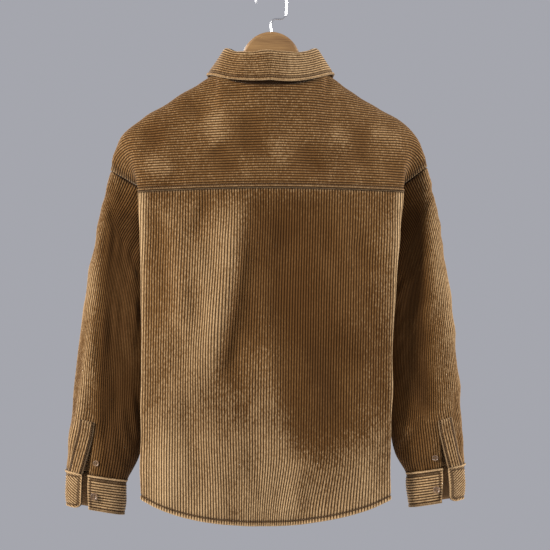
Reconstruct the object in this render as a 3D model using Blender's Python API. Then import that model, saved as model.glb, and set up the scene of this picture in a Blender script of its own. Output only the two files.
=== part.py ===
"""A corduroy overshirt on a wooden hanger, built as its cut pieces of cloth.

The garment hangs by the hanger's hook: the origin is the inside top of the hook. Its back faces -Y, its
front +Y, and +Z is up. Every panel is a wall whose outer side carries the raised wales of the cloth and
whose inner side is plain. A surface below is the outer side of the cloth between two wales.
"""

import math
from collections import namedtuple

import bmesh
import bpy
import numpy as np

# Cloth
WALE_PITCH = 0.0048
WALE_HEIGHT = 0.0008
CLOTH = 0.0014
SEAM_GAP = 0.0003

# Body, as half a girth on each side of the centre line
BACK_HALF = 0.290
CHEST_Z = -0.337
UNDERARM_Z = -0.490
YOKE_HALF = 108 * WALE_PITCH / 2
FOLD_STATION = 0.214
ARMHOLE_POWER = 2.2
DOME_POWER = 2.4
FOLD_CUT = 0.012
FRONT_OVERLAP = 0.015
FRONT_STEP = 0.0017
FRONT_TOP_SEAM = (0.175, 0.004)
FRONT_WIDTH = 0.2508
FRONT_FOLD = 0.81
FRONT_ARMHOLE = 97 * WALE_PITCH / 2 / FRONT_WIDTH
FRONT_THICK = 0.014
SHOULDER_POWER = 2.4
NECK_POWER = 1.2
CAP_ROUND = 0.012
YOKE_WALES = 68
FRONT_YOKE_WALES = 18

# Neck
NECK_HALF = 0.086
NECK_BACK_Y = -0.045
NECK_BACK_Z = -0.164
NECK_SIDE_Z = -0.144
NECK_FRONT = (0.046, -0.214)
NECK_TUCK = 0.010
NECK_TUCK_REACH = 0.050
FRONT_YOKE_DEPTH = 0.045
YOKE_STATIONS = np.array([0, 0.045, 0.070, NECK_HALF, 0.120, 0.188, 0.206, 0.222, 0.240, YOKE_HALF])

# Hem
HEM_CENTRE_Z = -0.861
HEM_FOLD_Z = -0.813
HEM_SIDE_Z = -0.796
HEM_FRONT_RISE = 0.012

# Hanger
WIRE = 0.0033
HOOK_RADIUS = 0.0243
WOOD_TOP_Z = -0.077
WOOD_HUMP = 0.050
WOOD_THICK = 0.012
WOOD_BEVEL = 0.004
WOOD_SEAT = 0.0010

BUTTON_THICK = 0.0026
BUTTON_SIDES = 12

Level = namedtuple("Level", "z shift back_y fold_x fold_y seam_x seam_y front_x front_fold_y front_y")
LEVELS = (
    Level(-0.300, 0.0000, -0.061, 0.2115, -0.043, 0.193, 0.002, 0.200, 0.036, 0.046),
    Level(-0.337, 0.0000, -0.063, 0.2095, -0.044, 0.189, 0.002, 0.199, 0.036, 0.046),
    Level(-0.490, -0.0038, -0.073, 0.2008, -0.050, 0.151, 0.006, 0.192, 0.040, 0.045),
    Level(-0.670, -0.0062, -0.071, 0.1985, -0.047, 0.147, 0.006, 0.190, 0.040, 0.043),
    Level(-0.880, -0.0090, -0.062, 0.1978, -0.041, 0.150, 0.006, 0.190, 0.037, 0.040),
)

# Broad soft folds of the back: where each starts and ends, its half width and how far it stands out
Fold = namedtuple("Fold", "x_top z_top x_low z_low width out")
BACK_FOLDS = (
    Fold(-0.040, -0.345, -0.085, -0.640, 0.026, 0.0050),
    Fold(-0.150, -0.360, -0.130, -0.560, 0.020, 0.0030),
    Fold(0.020, -0.370, 0.035, -0.620, 0.032, -0.0045),
    Fold(0.105, -0.360, 0.150, -0.600, 0.024, 0.0035),
    Fold(-0.060, -0.700, -0.040, -0.860, 0.030, 0.0030),
    Fold(0.085, -0.660, 0.100, -0.860, 0.034, -0.0030),
)

# The shoulder line from the neck to the tip of the hanger, and on over it to the armhole seam
TIP_POINT = 3
RIDGE = {
    -1: ((0.086, -0.144), (0.134, -0.1725), (0.2055, -0.2175), (0.226, -0.2310), (0.240, -0.249),
         (0.252, -0.277), (0.256, -0.299)),
    1: ((0.086, -0.144), (0.137, -0.1795), (0.1860, -0.2095), (0.218, -0.2290), (0.231, -0.2435),
        (0.243, -0.270), (0.249, -0.293)),
}

# Sleeve rings: outer and inner point as (x, z), the middle's y, and the reach to the back and the front
Ring = namedtuple("Ring", "outer inner middle back front")
SLEEVE_RINGS = {
    -1: (
        Ring((0.265, -0.335), (0.171, -0.506), 0.005, 0.024, 0.020),
        Ring((0.274, -0.368), (0.173, -0.540), 0.004, 0.030, 0.025),
        Ring((0.281, -0.410), (0.183, -0.572), 0.003, 0.034, 0.029),
        Ring((0.290, -0.468), (0.190, -0.612), 0.002, 0.036, 0.032),
        Ring((0.303, -0.548), (0.197, -0.664), 0.002, 0.036, 0.033),
        Ring((0.313, -0.630), (0.203, -0.716), 0.002, 0.034, 0.032),
        Ring((0.320, -0.706), (0.212, -0.757), 0.002, 0.031, 0.030),
        Ring((0.327, -0.779), (0.232, -0.795), 0.002, 0.027, 0.027),
    ),
    1: (
        Ring((0.257, -0.326), (0.164, -0.506), 0.005, 0.024, 0.020),
        Ring((0.264, -0.360), (0.165, -0.540), 0.004, 0.030, 0.025),
        Ring((0.271, -0.404), (0.174, -0.572), 0.003, 0.034, 0.029),
        Ring((0.279, -0.466), (0.180, -0.610), 0.002, 0.036, 0.032),
        Ring((0.290, -0.550), (0.186, -0.662), 0.002, 0.036, 0.033),
        Ring((0.299, -0.630), (0.191, -0.710), 0.002, 0.034, 0.032),
        Ring((0.305, -0.702), (0.199, -0.750), 0.002, 0.031, 0.030),
        Ring((0.3085, -0.769), (0.218, -0.783), 0.002, 0.027, 0.027),
    ),
}
SLIT_RING = 7.0
LAST_RING = 8
SLIT_OFFSET = 0.062
SLIT_TURN = 0.016
SLIT_GAP = 0.009
PLACKET_WIDTH = 0.025
PLACKET_START = 0.90
PLACKET_LIFT = 0.0027
SLEEVE_ROWS = np.array([0.005, 0.70, 1.6, 3.8, SLIT_RING, LAST_RING - 0.004])
SLEEVE_CLEAR = 0.0024
RING_POWER = 0.75
TIP_REACH = 0.008
TIP_CLOTH = 0.45

CUFF_DROP = 0.054
CUFF_FLARE = 0.003
CUFF_STATIONS = np.linspace(0, 1, 11)
CUFF_BUTTON_DEPTH = 0.031

# Collar: how far along half the neck, the stand's lean and rise, and the leaf's reach out, down and along
Collar = namedtuple("Collar", "along lean rise out down spread")
COLLAR = (
    Collar(0.00, 0.002, 0.050, 0.011, 0.042, 0.000),
    Collar(0.25, 0.008, 0.043, 0.022, 0.041, 0.000),
    Collar(0.45, 0.018, 0.036, 0.037, 0.038, 0.000),
    Collar(0.70, 0.010, 0.033, 0.024, 0.052, 0.012),
    Collar(1.00, 0.001, 0.030, 0.012, 0.064, 0.046),
)
LEAF_TOP = 0.0031
LEAF_ROLL = 0.0058
STAND_STEP = 0.0024
COLLAR_STATIONS = np.array([0, 0.16, 0.30, 0.40, 0.48, 0.58, 0.72, 0.87, 0.985])
COLLAR_CLOTH = 0.0022

BROWN = (0.30, 0.165, 0.065)
HORN = (0.34, 0.22, 0.12)
WOOD = (0.45, 0.27, 0.11)
STEEL = (0.72, 0.72, 0.72)


def spline(keys, values, at):
    """Smooth curve through values at rising keys, read at any number of places."""
    keys = np.asarray(keys, float)
    values = np.asarray(values, float)
    at = np.asarray(at, float)
    slopes = np.gradient(values, keys, axis=0)
    place = np.clip(np.searchsorted(keys, at, side="right") - 1, 0, len(keys) - 2)
    step = keys[place + 1] - keys[place]
    t = np.clip((at - keys[place]) / step, 0, 1)
    shape = t.shape + (1,) * (values.ndim - 1)
    t, step = t.reshape(shape), step.reshape(shape)
    first = (2 * t**3 - 3 * t**2 + 1) * values[place] + (t**3 - 2 * t**2 + t) * step * slopes[place]
    return first + (3 * t**2 - 2 * t**3) * values[place + 1] + (t**3 - t**2) * step * slopes[place + 1]


def lengths(path):
    """Distance along a path at each of its points."""
    return np.concatenate([[0], np.cumsum(np.linalg.norm(np.diff(path, axis=0), axis=1))])


def along(path, distances):
    """Points of a path at distances along it."""
    run = lengths(path)
    return np.stack([np.interp(distances, run, path[:, k]) for k in range(path.shape[1])], axis=-1)


def turned_corner(start, corner, end, steps=8):
    """A corner turned into a parabola."""
    t = np.linspace(0, 1, steps)[:, None]
    return (1 - t) ** 2 * start + 2 * t * (1 - t) * corner + t**2 * end


def level_at(z):
    """The body's sizes at one height or at many: they change evenly from level to level."""
    keys = [-row.z for row in LEVELS]
    return Level(z, *(np.interp(-np.asarray(z), keys, column) for column in list(zip(*LEVELS))[1:]))


def half_section(centre_y, fold_x, fold_y, seam, reach, thick=0.0):
    """Half an outline of the body: a flat dome, a rounded fold, and the run behind it to the seam."""
    x = np.linspace(0, fold_x - FOLD_CUT, 26)
    dome = np.column_stack([x, centre_y + (fold_y - centre_y) * (x / fold_x) ** DOME_POWER])
    corner = np.array([fold_x + 0.0045, fold_y])
    low = corner - [0, thick]
    run = (np.array(seam) - low) / np.linalg.norm(np.array(seam) - low)
    if thick:
        middle = (corner + low) / 2
        first = turned_corner(dome[-1], corner, middle)
        turns = np.vstack([first, turned_corner(middle, low, low + run * thick / 2)])
    else:
        turns = turned_corner(dome[-1], corner, corner + run * FOLD_CUT)
    return np.vstack([dome, turns[1:], low + run * reach])


class Chart:
    """A surface kept on a fine grid of two coordinates and read back between its points."""

    def __init__(self, us, vs, points, outwards):
        self.us, self.vs, self.points = us, vs, points
        along_u = np.gradient(points, us, axis=0)
        along_v = np.gradient(points, vs, axis=1)
        normals = np.cross(along_u, along_v) * outwards
        self.normals = normals / np.maximum(np.linalg.norm(normals, axis=2, keepdims=True), 1e-12)

    def read(self, field, u, v):
        """Values of a field at (u, v)."""
        u, v = np.broadcast_arrays(np.asarray(u, float), np.asarray(v, float))
        iu = np.interp(u, self.us, np.arange(len(self.us)))
        iv = np.interp(v, self.vs, np.arange(len(self.vs)))
        i = np.clip(iu.astype(int), 0, len(self.us) - 2)
        j = np.clip(iv.astype(int), 0, len(self.vs) - 2)
        fu, fv = (iu - i)[..., None], (iv - j)[..., None]
        near = field[i, j] * (1 - fv) + field[i, j + 1] * fv
        far = field[i + 1, j] * (1 - fv) + field[i + 1, j + 1] * fv
        return near * (1 - fu) + far * fu

    def at(self, u, v, out=0.0):
        """Points at (u, v), moved out from the surface."""
        normals = self.read(self.normals, u, v)
        normals = normals / np.linalg.norm(normals, axis=-1, keepdims=True)
        return self.read(self.points, u, v) + normals * np.asarray(out, float)[..., None]


def fold_relief(x, z):
    """How far the broad folds of the back stand out at (x, z)."""
    out = np.zeros_like(x)
    for fold in BACK_FOLDS:
        t = (fold.z_top - z) / (fold.z_top - fold.z_low)
        middle = fold.x_top + (fold.x_low - fold.x_top) * t
        ends = np.clip(t * 4, 0, 1) * np.clip((1.12 - t) * 3, 0, 1)
        ends = ends * ends * (3 - 2 * ends)
        out += fold.out * ends * np.exp(-(((x - middle) / fold.width) ** 2))
    return out


def back_chart():
    """The back over the distance from the centre line (left negative) and the height."""
    us = np.linspace(-0.300, 0.300, 401)
    vs = np.array([row.z for row in LEVELS[::-1]])
    points = np.empty((len(us), len(vs), 3))
    for j, z in enumerate(vs):
        level = level_at(z)
        half = half_section(level.back_y, level.fold_x, level.fold_y, (level.seam_x, level.seam_y), 0.13)
        flat = along(half, np.abs(us))
        points[:, j, 0] = np.sign(us) * flat[:, 0]
        points[:, j, 1] = flat[:, 1] - fold_relief(points[:, j, 0], z)
        points[:, j, 0] += level.shift
        points[:, j, 2] = z
    share = (vs[1] - vs[0]) / (vs[2] - vs[0])
    straight = points[:, 0] + (points[:, 2] - points[:, 0]) * share
    near = np.clip((np.abs(us) - 0.235) / (BACK_HALF - 0.235), 0, 1)[:, None]
    points[:, 1] += (straight - points[:, 1]) * near
    return Chart(us, vs, points, 1)


BACK = back_chart()


def front_chart(side):
    """One front over the share of the way from its free edge to its side edge, and the height."""
    us = np.linspace(0, 1, 241)
    vs = np.array([LEVELS[-1].z, UNDERARM_Z, CHEST_Z, CHEST_Z + 0.01])
    points = np.empty((len(us), len(vs), 3))
    for j, z in enumerate(vs):
        level = level_at(z)
        seam = np.array(FRONT_TOP_SEAM)
        if z <= UNDERARM_Z:
            seam = BACK.at(BACK_HALF * side, z)[:2]
            seam = np.array([(seam[0] - level.shift) * side, seam[1]])
        whole = half_section(level.front_y, level.front_x, level.front_fold_y, seam, 0.001, FRONT_THICK)
        path = np.vstack([[-FRONT_OVERLAP, whole[0, 1]], whole[:-1], seam])
        run = lengths(path)
        flat = along(path, np.interp(us, [0, FRONT_FOLD, 1], [0, run[33], run[-1]]))
        points[:, j, 0] = flat[:, 0] * side + level.shift
        step = -side * FRONT_STEP * np.clip(1 - (flat[:, 0] - 0.02) / 0.03, 0, 1)
        points[:, j, 1] = flat[:, 1] + step
        points[:, j, 2] = z
    return Chart(us, vs, points, -side)


FRONTS = {side: front_chart(side) for side in (-1, 1)}


def front_share(station):
    """The share across a front that lies under a station of the shoulder."""
    return np.interp(station, [0, FOLD_STATION, YOKE_HALF],
                     [FRONT_OVERLAP / FRONT_WIDTH, FRONT_FOLD, FRONT_ARMHOLE])


def armhole_fall(share):
    """How far down an armhole's lower half is, from 0 to 1, over the share of its way to the side seam."""
    return (1 - (1 - np.clip(share, 0, 1)) ** ARMHOLE_POWER) ** (1 / ARMHOLE_POWER)


def armhole_z(distance):
    """Height of the back's armhole edge at a distance from the centre line."""
    share = (np.abs(distance) - YOKE_HALF) / (BACK_HALF - YOKE_HALF)
    return CHEST_Z + (UNDERARM_Z - CHEST_Z) * armhole_fall(share)


def front_armhole_z(share):
    """Height of a front's armhole edge at a share of its width."""
    return CHEST_Z + (UNDERARM_Z - CHEST_Z) * armhole_fall((share - FRONT_ARMHOLE) / (1 - FRONT_ARMHOLE))


def yoke_seam_z(distance):
    """Height of the back yoke seam: it arches up to the centre."""
    return -0.329 + (CHEST_Z + 0.329) * np.clip(np.abs(distance) / YOKE_HALF, 0, 1) ** 1.6


def neck_back(station, side):
    """The neck seam's back half, from the centre to the side."""
    t = np.clip(station / NECK_HALF, 0, 1)
    y = NECK_BACK_Y * math.sqrt(max(1 - t * t, 0))
    return np.array([station * side, y, NECK_BACK_Z + (NECK_SIDE_Z - NECK_BACK_Z) * t**3])


def ridge_path(side):
    """The shoulder line as a dense path, and how far along it the tip of the hanger is."""
    points = np.array([(x * side, 0, z) for x, z in RIDGE[side]])
    keys = lengths(points)
    return spline(keys, points, np.linspace(0, keys[-1], 120)), keys[TIP_POINT] / keys[-1]


RIDGES = {side: ridge_path(side) for side in (-1, 1)}


def top_point(station, side):
    """Where a station's line over the shoulder starts: on the neck seam or on the shoulder line."""
    if station < NECK_HALF:
        return neck_back(station, side)
    path, tip = RIDGES[side]
    share = np.interp(station, [NECK_HALF, FOLD_STATION, YOKE_HALF], [0, tip, 1])
    return along(path, share * lengths(path)[-1])


TURN = np.linspace(0, 1, 61)


def shoulder_power(station):
    """How flat the top of a station's line is: the neck's back falls at once, the shoulder is rounded."""
    return NECK_POWER + (SHOULDER_POWER - NECK_POWER) * min(station / NECK_HALF, 1) ** 3


def over_shoulder(station, side, front):
    """A station's line from the shoulder down to the chest."""
    top = top_point(station, side)
    if front:
        chest = FRONTS[side].at(front_share(station), CHEST_Z)
    else:
        chest = BACK.at(station * side, yoke_seam_z(station))
    power = shoulder_power(station)
    path = top + (chest - top) * np.column_stack([TURN**power, TURN, TURN**power])
    near = np.clip((station - 0.200) / (YOKE_HALF - 0.200), 0, 1)
    near = near * near * (3 - 2 * near)
    path[:, 1] += (1 if front else -1) * CAP_ROUND * near * 4 * TURN * (1 - TURN) ** 1.4
    if front:
        tuck = NECK_TUCK * max(1 - (station - NECK_HALF) / NECK_TUCK_REACH, 0) ** 2
        near = np.clip(TURN / 0.42, 0, 1)
        path[:, 0] -= side * tuck * near * (1 - TURN**2)
    return path


def front_yoke_turn(station, side):
    """How far down its line, from 0 to 1, a station meets the front yoke seam."""
    return float(np.interp(FRONT_YOKE_DEPTH, lengths(over_shoulder(station, side, True)), TURN))


def neck_front(share, side):
    """The neck seam's front: share 0 at the centre, 1 at the front yoke seam."""
    line = over_shoulder(NECK_HALF, side, True)
    end = along(line, FRONT_YOKE_DEPTH)
    centre = np.array([0, *NECK_FRONT])
    first = centre + np.array([0.045 * side, 0, 0.0])
    second = end + np.array([-0.012 * side, 0.014, -0.018])
    t = abs(share)
    point = (1 - t) ** 3 * centre + 3 * t * (1 - t) ** 2 * first + 3 * t * t * (1 - t) * second + t**3 * end
    return point * np.array([1 if share >= 0 else -1, 1, 1])


def neck_half(side):
    """Half of the neck seam from the back's centre past the front's, and the front's place on it."""
    back = [neck_back(s, side) for s in NECK_HALF * np.sin(np.linspace(0, math.pi / 2, 40))]
    line = over_shoulder(NECK_HALF, side, True)
    over = along(line, np.linspace(0, FRONT_YOKE_DEPTH, 14)[1:])
    front = [neck_front(s, side) for s in np.linspace(1, 0, 34)[1:]]
    past = [neck_front(s, side) for s in np.linspace(0, -0.2, 8)[1:]]
    path = np.vstack([back, over, front, past])
    return path, lengths(path)[-1 - len(past)]


def armhole_half(side, front):
    """Half of an armhole seam from the shoulder's end to the underarm, as a dense path."""
    upper = over_shoulder(YOKE_HALF, side, front)
    if front:
        upper = along(upper, np.linspace(0, FRONT_YOKE_DEPTH, 25))
        first = round(FRONT_ARMHOLE * FRONT_WIDTH / (WALE_PITCH / 2))
        share = np.append(np.arange(first, FRONT_WIDTH / (WALE_PITCH / 2) - 0.1) * WALE_PITCH / 2, FRONT_WIDTH)
        share = share / FRONT_WIDTH
        lower = FRONTS[side].at(share, front_armhole_z(share))
    else:
        reach = np.append(np.arange(YOKE_HALF, BACK_HALF - SEAM_GAP, WALE_PITCH / 2), BACK_HALF)[1:]
        lower = BACK.at(reach * side, armhole_z(reach))
    return np.vstack([upper, lower])


def sleeve_half_rings(side, front):
    """Every ring's half, from the outer line to the underarm line, as evenly spaced points."""
    share = np.linspace(0, 1, 81)
    first = armhole_half(side, front)
    rings = [along(first, share * lengths(first)[-1])]
    angle = np.linspace(0, math.pi, 81)
    for ring in SLEEVE_RINGS[side]:
        outer = np.array([ring.outer[0] * side, ring.middle, ring.outer[1]])
        inner = np.array([ring.inner[0] * side, ring.middle, ring.inner[1]])
        reach = ring.front if front else -ring.back
        path = (outer + inner) / 2 + np.outer(np.cos(angle), (outer - inner) / 2)
        path[:, 1] += reach * np.sin(angle) ** RING_POWER
        rings.append(along(path, share * lengths(path)[-1]))
    return np.array(rings)


def notch(side, x, z):
    """Lowest and highest y free between the back's and the front's run to the side seam."""
    level = np.minimum(z, CHEST_Z)
    ends = []
    for chart, first, last in ((BACK, 0.232 * side, BACK_HALF * side), (FRONTS[side], 0.88, 1.0)):
        near, far = chart.at(first, level), chart.at(last, level)
        slope = (far[..., 1] - near[..., 1]) / (far[..., 0] - near[..., 0])
        ends.append(near[..., 1] + (x * side - near[..., 0]) * slope)
    free = (z > CHEST_Z) | (x > level_at(z).fold_x + 0.004)
    return np.where(free, -1.0, ends[0]), np.where(free, 1.0, ends[1])


class Sleeve:
    """A sleeve's surface over the signed offset from its outer line (back negative) and the ring number."""

    def __init__(self, side):
        self.side = side
        self.vs = np.linspace(0, LAST_RING, 161)
        keys = np.arange(LAST_RING + 1)
        back = spline(keys, sleeve_half_rings(side, False), self.vs)
        front = spline(keys, sleeve_half_rings(side, True), self.vs)
        self.back_length = np.array([lengths(path)[-1] for path in back])
        self.front_length = np.array([lengths(path)[-1] for path in front])
        clear = SLEEVE_CLEAR * np.clip(self.vs / SLEEVE_ROWS[1], 0, 1)[:, None]
        for half in (back, front):
            low, high = notch(side, half[..., 0] * side, half[..., 2])
            low, high = low + clear, high - clear
            middle = (low + high) / 2
            half[1:, :, 1] = np.clip(half[..., 1], np.minimum(low, middle), np.maximum(high, middle))[1:]
        loop = np.concatenate([back[:, ::-1], front[:, 1:]], axis=1)
        wrapped = np.concatenate([loop[:, -4:-1], loop, loop[:, 1:4]], axis=1)
        shares = np.linspace(-1, 1, loop.shape[1])
        step = shares[1] - shares[0]
        us = np.concatenate([shares[0] - step * np.array([3, 2, 1]), shares,
                             shares[-1] + step * np.array([1, 2, 3])])
        self.chart = Chart(us, self.vs, wrapped.transpose(1, 0, 2), -side)

    def reach(self, v):
        """Length of the back and the front half at a ring."""
        return np.interp(v, self.vs, self.back_length), np.interp(v, self.vs, self.front_length)

    def at(self, offset, v, out=0.0):
        """Points at an offset, which stops at the underarm seam."""
        back, front = self.reach(v)
        share = np.clip(np.where(offset < 0, offset / back, offset / front), -1, 1)
        return self.chart.at(share, v, out)

    def slit(self, v):
        """Offset of the slit's line at a ring."""
        turn = np.clip((v - SLIT_RING) / (LAST_RING - SLIT_RING), 0, 1)
        return -SLIT_OFFSET + SLIT_TURN * turn

    def gap(self, v):
        """Width of the open slit at a ring."""
        return SLIT_GAP * np.clip((v - SLIT_RING) / (LAST_RING - SLIT_RING), 0, 1)


SLEEVES = {side: Sleeve(side) for side in (-1, 1)}


def loops_of(edges):
    """Ordered rings of vertices round open edges."""
    links = {}
    for edge in edges:
        a, b = edge.verts
        links.setdefault(a, []).append(b)
        links.setdefault(b, []).append(a)
    loops = []
    left = dict.fromkeys(links)
    while left:
        here = next(iter(left))
        loop = []
        while here is not None:
            del left[here]
            loop.append(here)
            here = next((v for v in links[here] if v in left), None)
        loops.append(loop)
    return loops


def stitch(mesh, outer, inner, twin):
    """Triangles between two open rings, where every inner point has its twin on the outer ring."""
    place = {v: k for k, v in enumerate(outer)}
    count = len(outer)
    spots = [place[twin[v]] for v in inner]
    turns = sum((b - a) % count for a, b in zip(spots, spots[1:] + spots[:1]))
    if turns != count:
        inner, spots = inner[::-1], spots[::-1]
    for k, (a, b) in enumerate(zip(spots, spots[1:] + spots[:1])):
        steps = (b - a) % count
        half = (steps + 1) // 2
        near, far = inner[k], inner[(k + 1) % len(inner)]
        for step in range(steps):
            base = near if step < half else far
            mesh.faces.new((outer[(a + step) % count], outer[(a + step + 1) % count], base))
        mesh.faces.new((near, outer[(a + half) % count], far))


def add_grid(mesh, points, keep, away):
    """Adds a grid as triangles whose diagonals bulge towards a side, and gives each grid point's vertex."""
    rows, columns = points.shape[:2]
    flat = [mesh.verts.new(p) for p in points.reshape(-1, 3)]
    doubles = bmesh.ops.find_doubles(mesh, verts=flat, dist=2e-6)["targetmap"]
    flat = [doubles.get(v, v) for v in flat]
    bulge = np.einsum("rck,rck->rc", points[:-1, :-1] + points[1:, 1:] - points[:-1, 1:] - points[1:, :-1],
                      away[:-1, :-1])
    for i in range(rows - 1):
        for j in range(columns - 1):
            if not keep[i, j]:
                continue
            a, b = flat[i * columns + j], flat[i * columns + j + 1]
            c, d = flat[(i + 1) * columns + j + 1], flat[(i + 1) * columns + j]
            halves = ((a, b, c), (a, c, d)) if bulge[i, j] >= 0 else ((a, b, d), (b, c, d))
            for face in halves:
                if len(set(face)) == 3:
                    mesh.faces.new(face)
    return flat


def wall(name, outer, inner, material, keep=None, hold=(), bend=0.0004):
    """One closed wall of cloth from two grids of the same size, the inner one thinned where it is plain."""
    rows, columns = outer.shape[:2]
    keep = np.ones((rows - 1, columns - 1), bool) if keep is None else keep
    chosen = sparse(inner, hold, bend)
    mesh = bmesh.new()
    outer_flat = add_grid(mesh, outer, keep, outer - inner)
    outer_loops = loops_of([e for e in mesh.edges if e.is_boundary])
    inner_flat = add_grid(mesh, inner[:, chosen], keep[:, chosen[:-1]], (inner - outer)[:, chosen])
    known = {v for loop in outer_loops for v in loop}
    inner_loops = loops_of([e for e in mesh.edges if e.is_boundary and e.verts[0] not in known])
    twin = {}
    for i in range(rows):
        for k, j in enumerate(chosen):
            other = outer_flat[i * columns + j]
            if other in known:
                twin.setdefault(inner_flat[i * len(chosen) + k], other)
    for ring in inner_loops:
        loop = next(loop for loop in outer_loops if twin[ring[0]] in loop)
        stitch(mesh, loop, ring, twin)
    bmesh.ops.delete(mesh, geom=[v for v in mesh.verts if not v.link_faces], context="VERTS")
    bmesh.ops.recalc_face_normals(mesh, faces=mesh.faces)
    if mesh.calc_volume(signed=True) < 0:
        bmesh.ops.reverse_faces(mesh, faces=mesh.faces)
    return add_object(name, mesh, material)


def add_object(name, mesh, material):
    """Puts a mesh into the scene as a named object."""
    data = bpy.data.meshes.new(name)
    mesh.to_mesh(data)
    mesh.free()
    data.shade_smooth()
    data.set_sharp_from_angle(angle=math.radians(40))
    obj = bpy.data.objects.new(name, data)
    obj.data.materials.append(material)
    SHIRT.objects.link(obj)
    return obj


def finish(name, colour, roughness, metallic=0.0):
    """A plain surface finish."""
    material = bpy.data.materials.new(name)
    material.use_nodes = True
    shader = material.node_tree.nodes["Principled BSDF"]
    shader.inputs["Base Color"].default_value = (*colour, 1)
    shader.inputs["Roughness"].default_value = roughness
    shader.inputs["Metallic"].default_value = metallic
    return material


def wale_offsets(low, high):
    """Offsets across the wales from low to high, valley and crest in turn, with the height of each."""
    half = WALE_PITCH / 2
    first, last = math.ceil(low / half + 0.3), math.floor(high / half - 0.3)
    steps = np.arange(first, last + 1)
    offsets = np.concatenate([[low], steps * half, [high]])
    heights = np.concatenate([[0], np.where(steps % 2 == 0, 0, WALE_HEIGHT), [0]])
    return offsets, heights


def sparse(grid, hold=(), bend=0.0004, most=7):
    """Columns needed so that the flat stretch between two of them stays close to every column left out."""
    count = grid.shape[1]
    chosen, start = [0], 0
    while start < count - 1:
        end = start + 1
        while end + 1 < count and end not in hold and end - start < most:
            a, b = grid[:, start], grid[:, end + 1]
            way = b - a
            size = np.maximum(np.sum(way * way, axis=1), 1e-12)
            middle = grid[:, start + 1:end + 1] - a[:, None]
            share = np.clip(np.einsum("rck,rk->rc", middle, way) / size[:, None], 0, 1)
            off = np.linalg.norm(middle - share[..., None] * way[:, None], axis=2)
            if off.max() > bend:
                break
            end += 1
        chosen.append(end)
        start = end
    return np.array(chosen)


def hem_z(distance):
    """Height of the back's curved hem at a distance from the centre line."""
    x = np.abs(distance) / FOLD_STATION
    side = np.clip((np.abs(distance) - FOLD_STATION) / (BACK_HALF - FOLD_STATION), 0, 1)
    centre = HEM_CENTRE_Z + (HEM_FOLD_Z - HEM_CENTRE_Z) * np.clip(x, 0, 1) ** 2.6
    return centre + (HEM_SIDE_Z - HEM_FOLD_Z) * np.sin(side * math.pi / 2)


def make_back(material):
    """The lower back, wales upright, from the yoke seam to the shirt-tail hem."""
    reach = BACK_HALF - SEAM_GAP
    offsets, heights = wale_offsets(-reach, reach)
    side = np.abs(offsets) > YOKE_HALF + 1e-6
    top = np.where(side, armhole_z(offsets), yoke_seam_z(offsets)) - SEAM_GAP
    levels = [np.minimum(np.full(len(offsets), z), top - 0.004) for z in (UNDERARM_Z, LEVELS[3].z)]
    outer, inner = [], []
    for k, z in enumerate([top, *levels, hem_z(offsets)]):
        lifts = heights * (0.5 if k in (0, 3) else 1)
        lifts = np.where((np.abs(offsets) > 0.248) & (k < 2), 0, lifts)
        outer.append(BACK.at(offsets, z, lifts))
        inner.append(BACK.at(offsets, z, np.full(len(z), -CLOTH)))
    return wall("back", np.array(outer), np.array(inner), material)


def yoke_line(station, side):
    """A station's line from the back yoke seam over the shoulder, the ridge's place on it and its end."""
    back = over_shoulder(station, side, False)[::-1]
    ridge = lengths(back)[-1]
    if station < NECK_HALF:
        return back, ridge, ridge - SEAM_GAP / 2
    line = np.vstack([back, over_shoulder(station, side, True)[1:]])
    return line, ridge, ridge + FRONT_YOKE_DEPTH - SEAM_GAP / 2


def yoke_normals(station, side, places):
    """Outward normals at places along a station's line, from the lines beside it."""
    low = max(station - 0.0015, NECK_HALF if station >= NECK_HALF else 0)
    high = min(station + 0.0015, YOKE_HALF if station >= NECK_HALF else NECK_HALF - 1e-4)
    near, far = (along(yoke_line(s, side)[0], places) for s in (low, high))
    if station == 0:
        near = far * np.array([-1, 1, 1])
    line = yoke_line(station, side)[0]
    up = along(line, places + 0.0008) - along(line, places - 0.0008)
    normal = np.cross((far - near) * side, up)
    return normal / np.maximum(np.linalg.norm(normal, axis=1, keepdims=True), 1e-12)


def make_yoke(material):
    """The yoke, wales across, folded over the shoulder line to the front yoke seams."""
    stations = [(s, -1) for s in YOKE_STATIONS[:0:-1]] + [(s, 1) for s in YOKE_STATIONS]
    low = SEAM_GAP / 2
    count = YOKE_WALES + FRONT_YOKE_WALES
    heights = np.where(np.arange(count + 1) % 2 == 0, 0, WALE_HEIGHT)
    outer, inner = [], []
    for station, side in stations:
        inset = min(station, YOKE_HALF - SEAM_GAP / 2)
        line, ridge, end = yoke_line(inset, side)
        ahead = np.linspace(0, end - ridge, FRONT_YOKE_WALES + 1)[1:] if station >= NECK_HALF else 0
        places = np.concatenate([np.linspace(low, min(ridge, end), YOKE_WALES + 1),
                                 np.full(FRONT_YOKE_WALES, min(ridge, end)) + ahead])
        lifts = heights * (0 if station in (NECK_HALF, YOKE_HALF) else 1)
        if station < NECK_HALF:
            lifts = np.where(np.arange(count + 1) < YOKE_WALES, lifts, 0)
        normals = yoke_normals(inset, side, places)
        outer.append(along(line, places) + normals * lifts[:, None])
        inner.append(along(line, places) - normals * CLOTH)
    keep = np.ones((len(stations) - 1, count), bool)
    neck = [k for k, (station, _) in enumerate(stations) if station == NECK_HALF]
    keep[neck[0]:neck[1], YOKE_WALES:] = False
    return wall("yoke", np.array(outer), np.array(inner), material, keep, (YOKE_WALES,))


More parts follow.
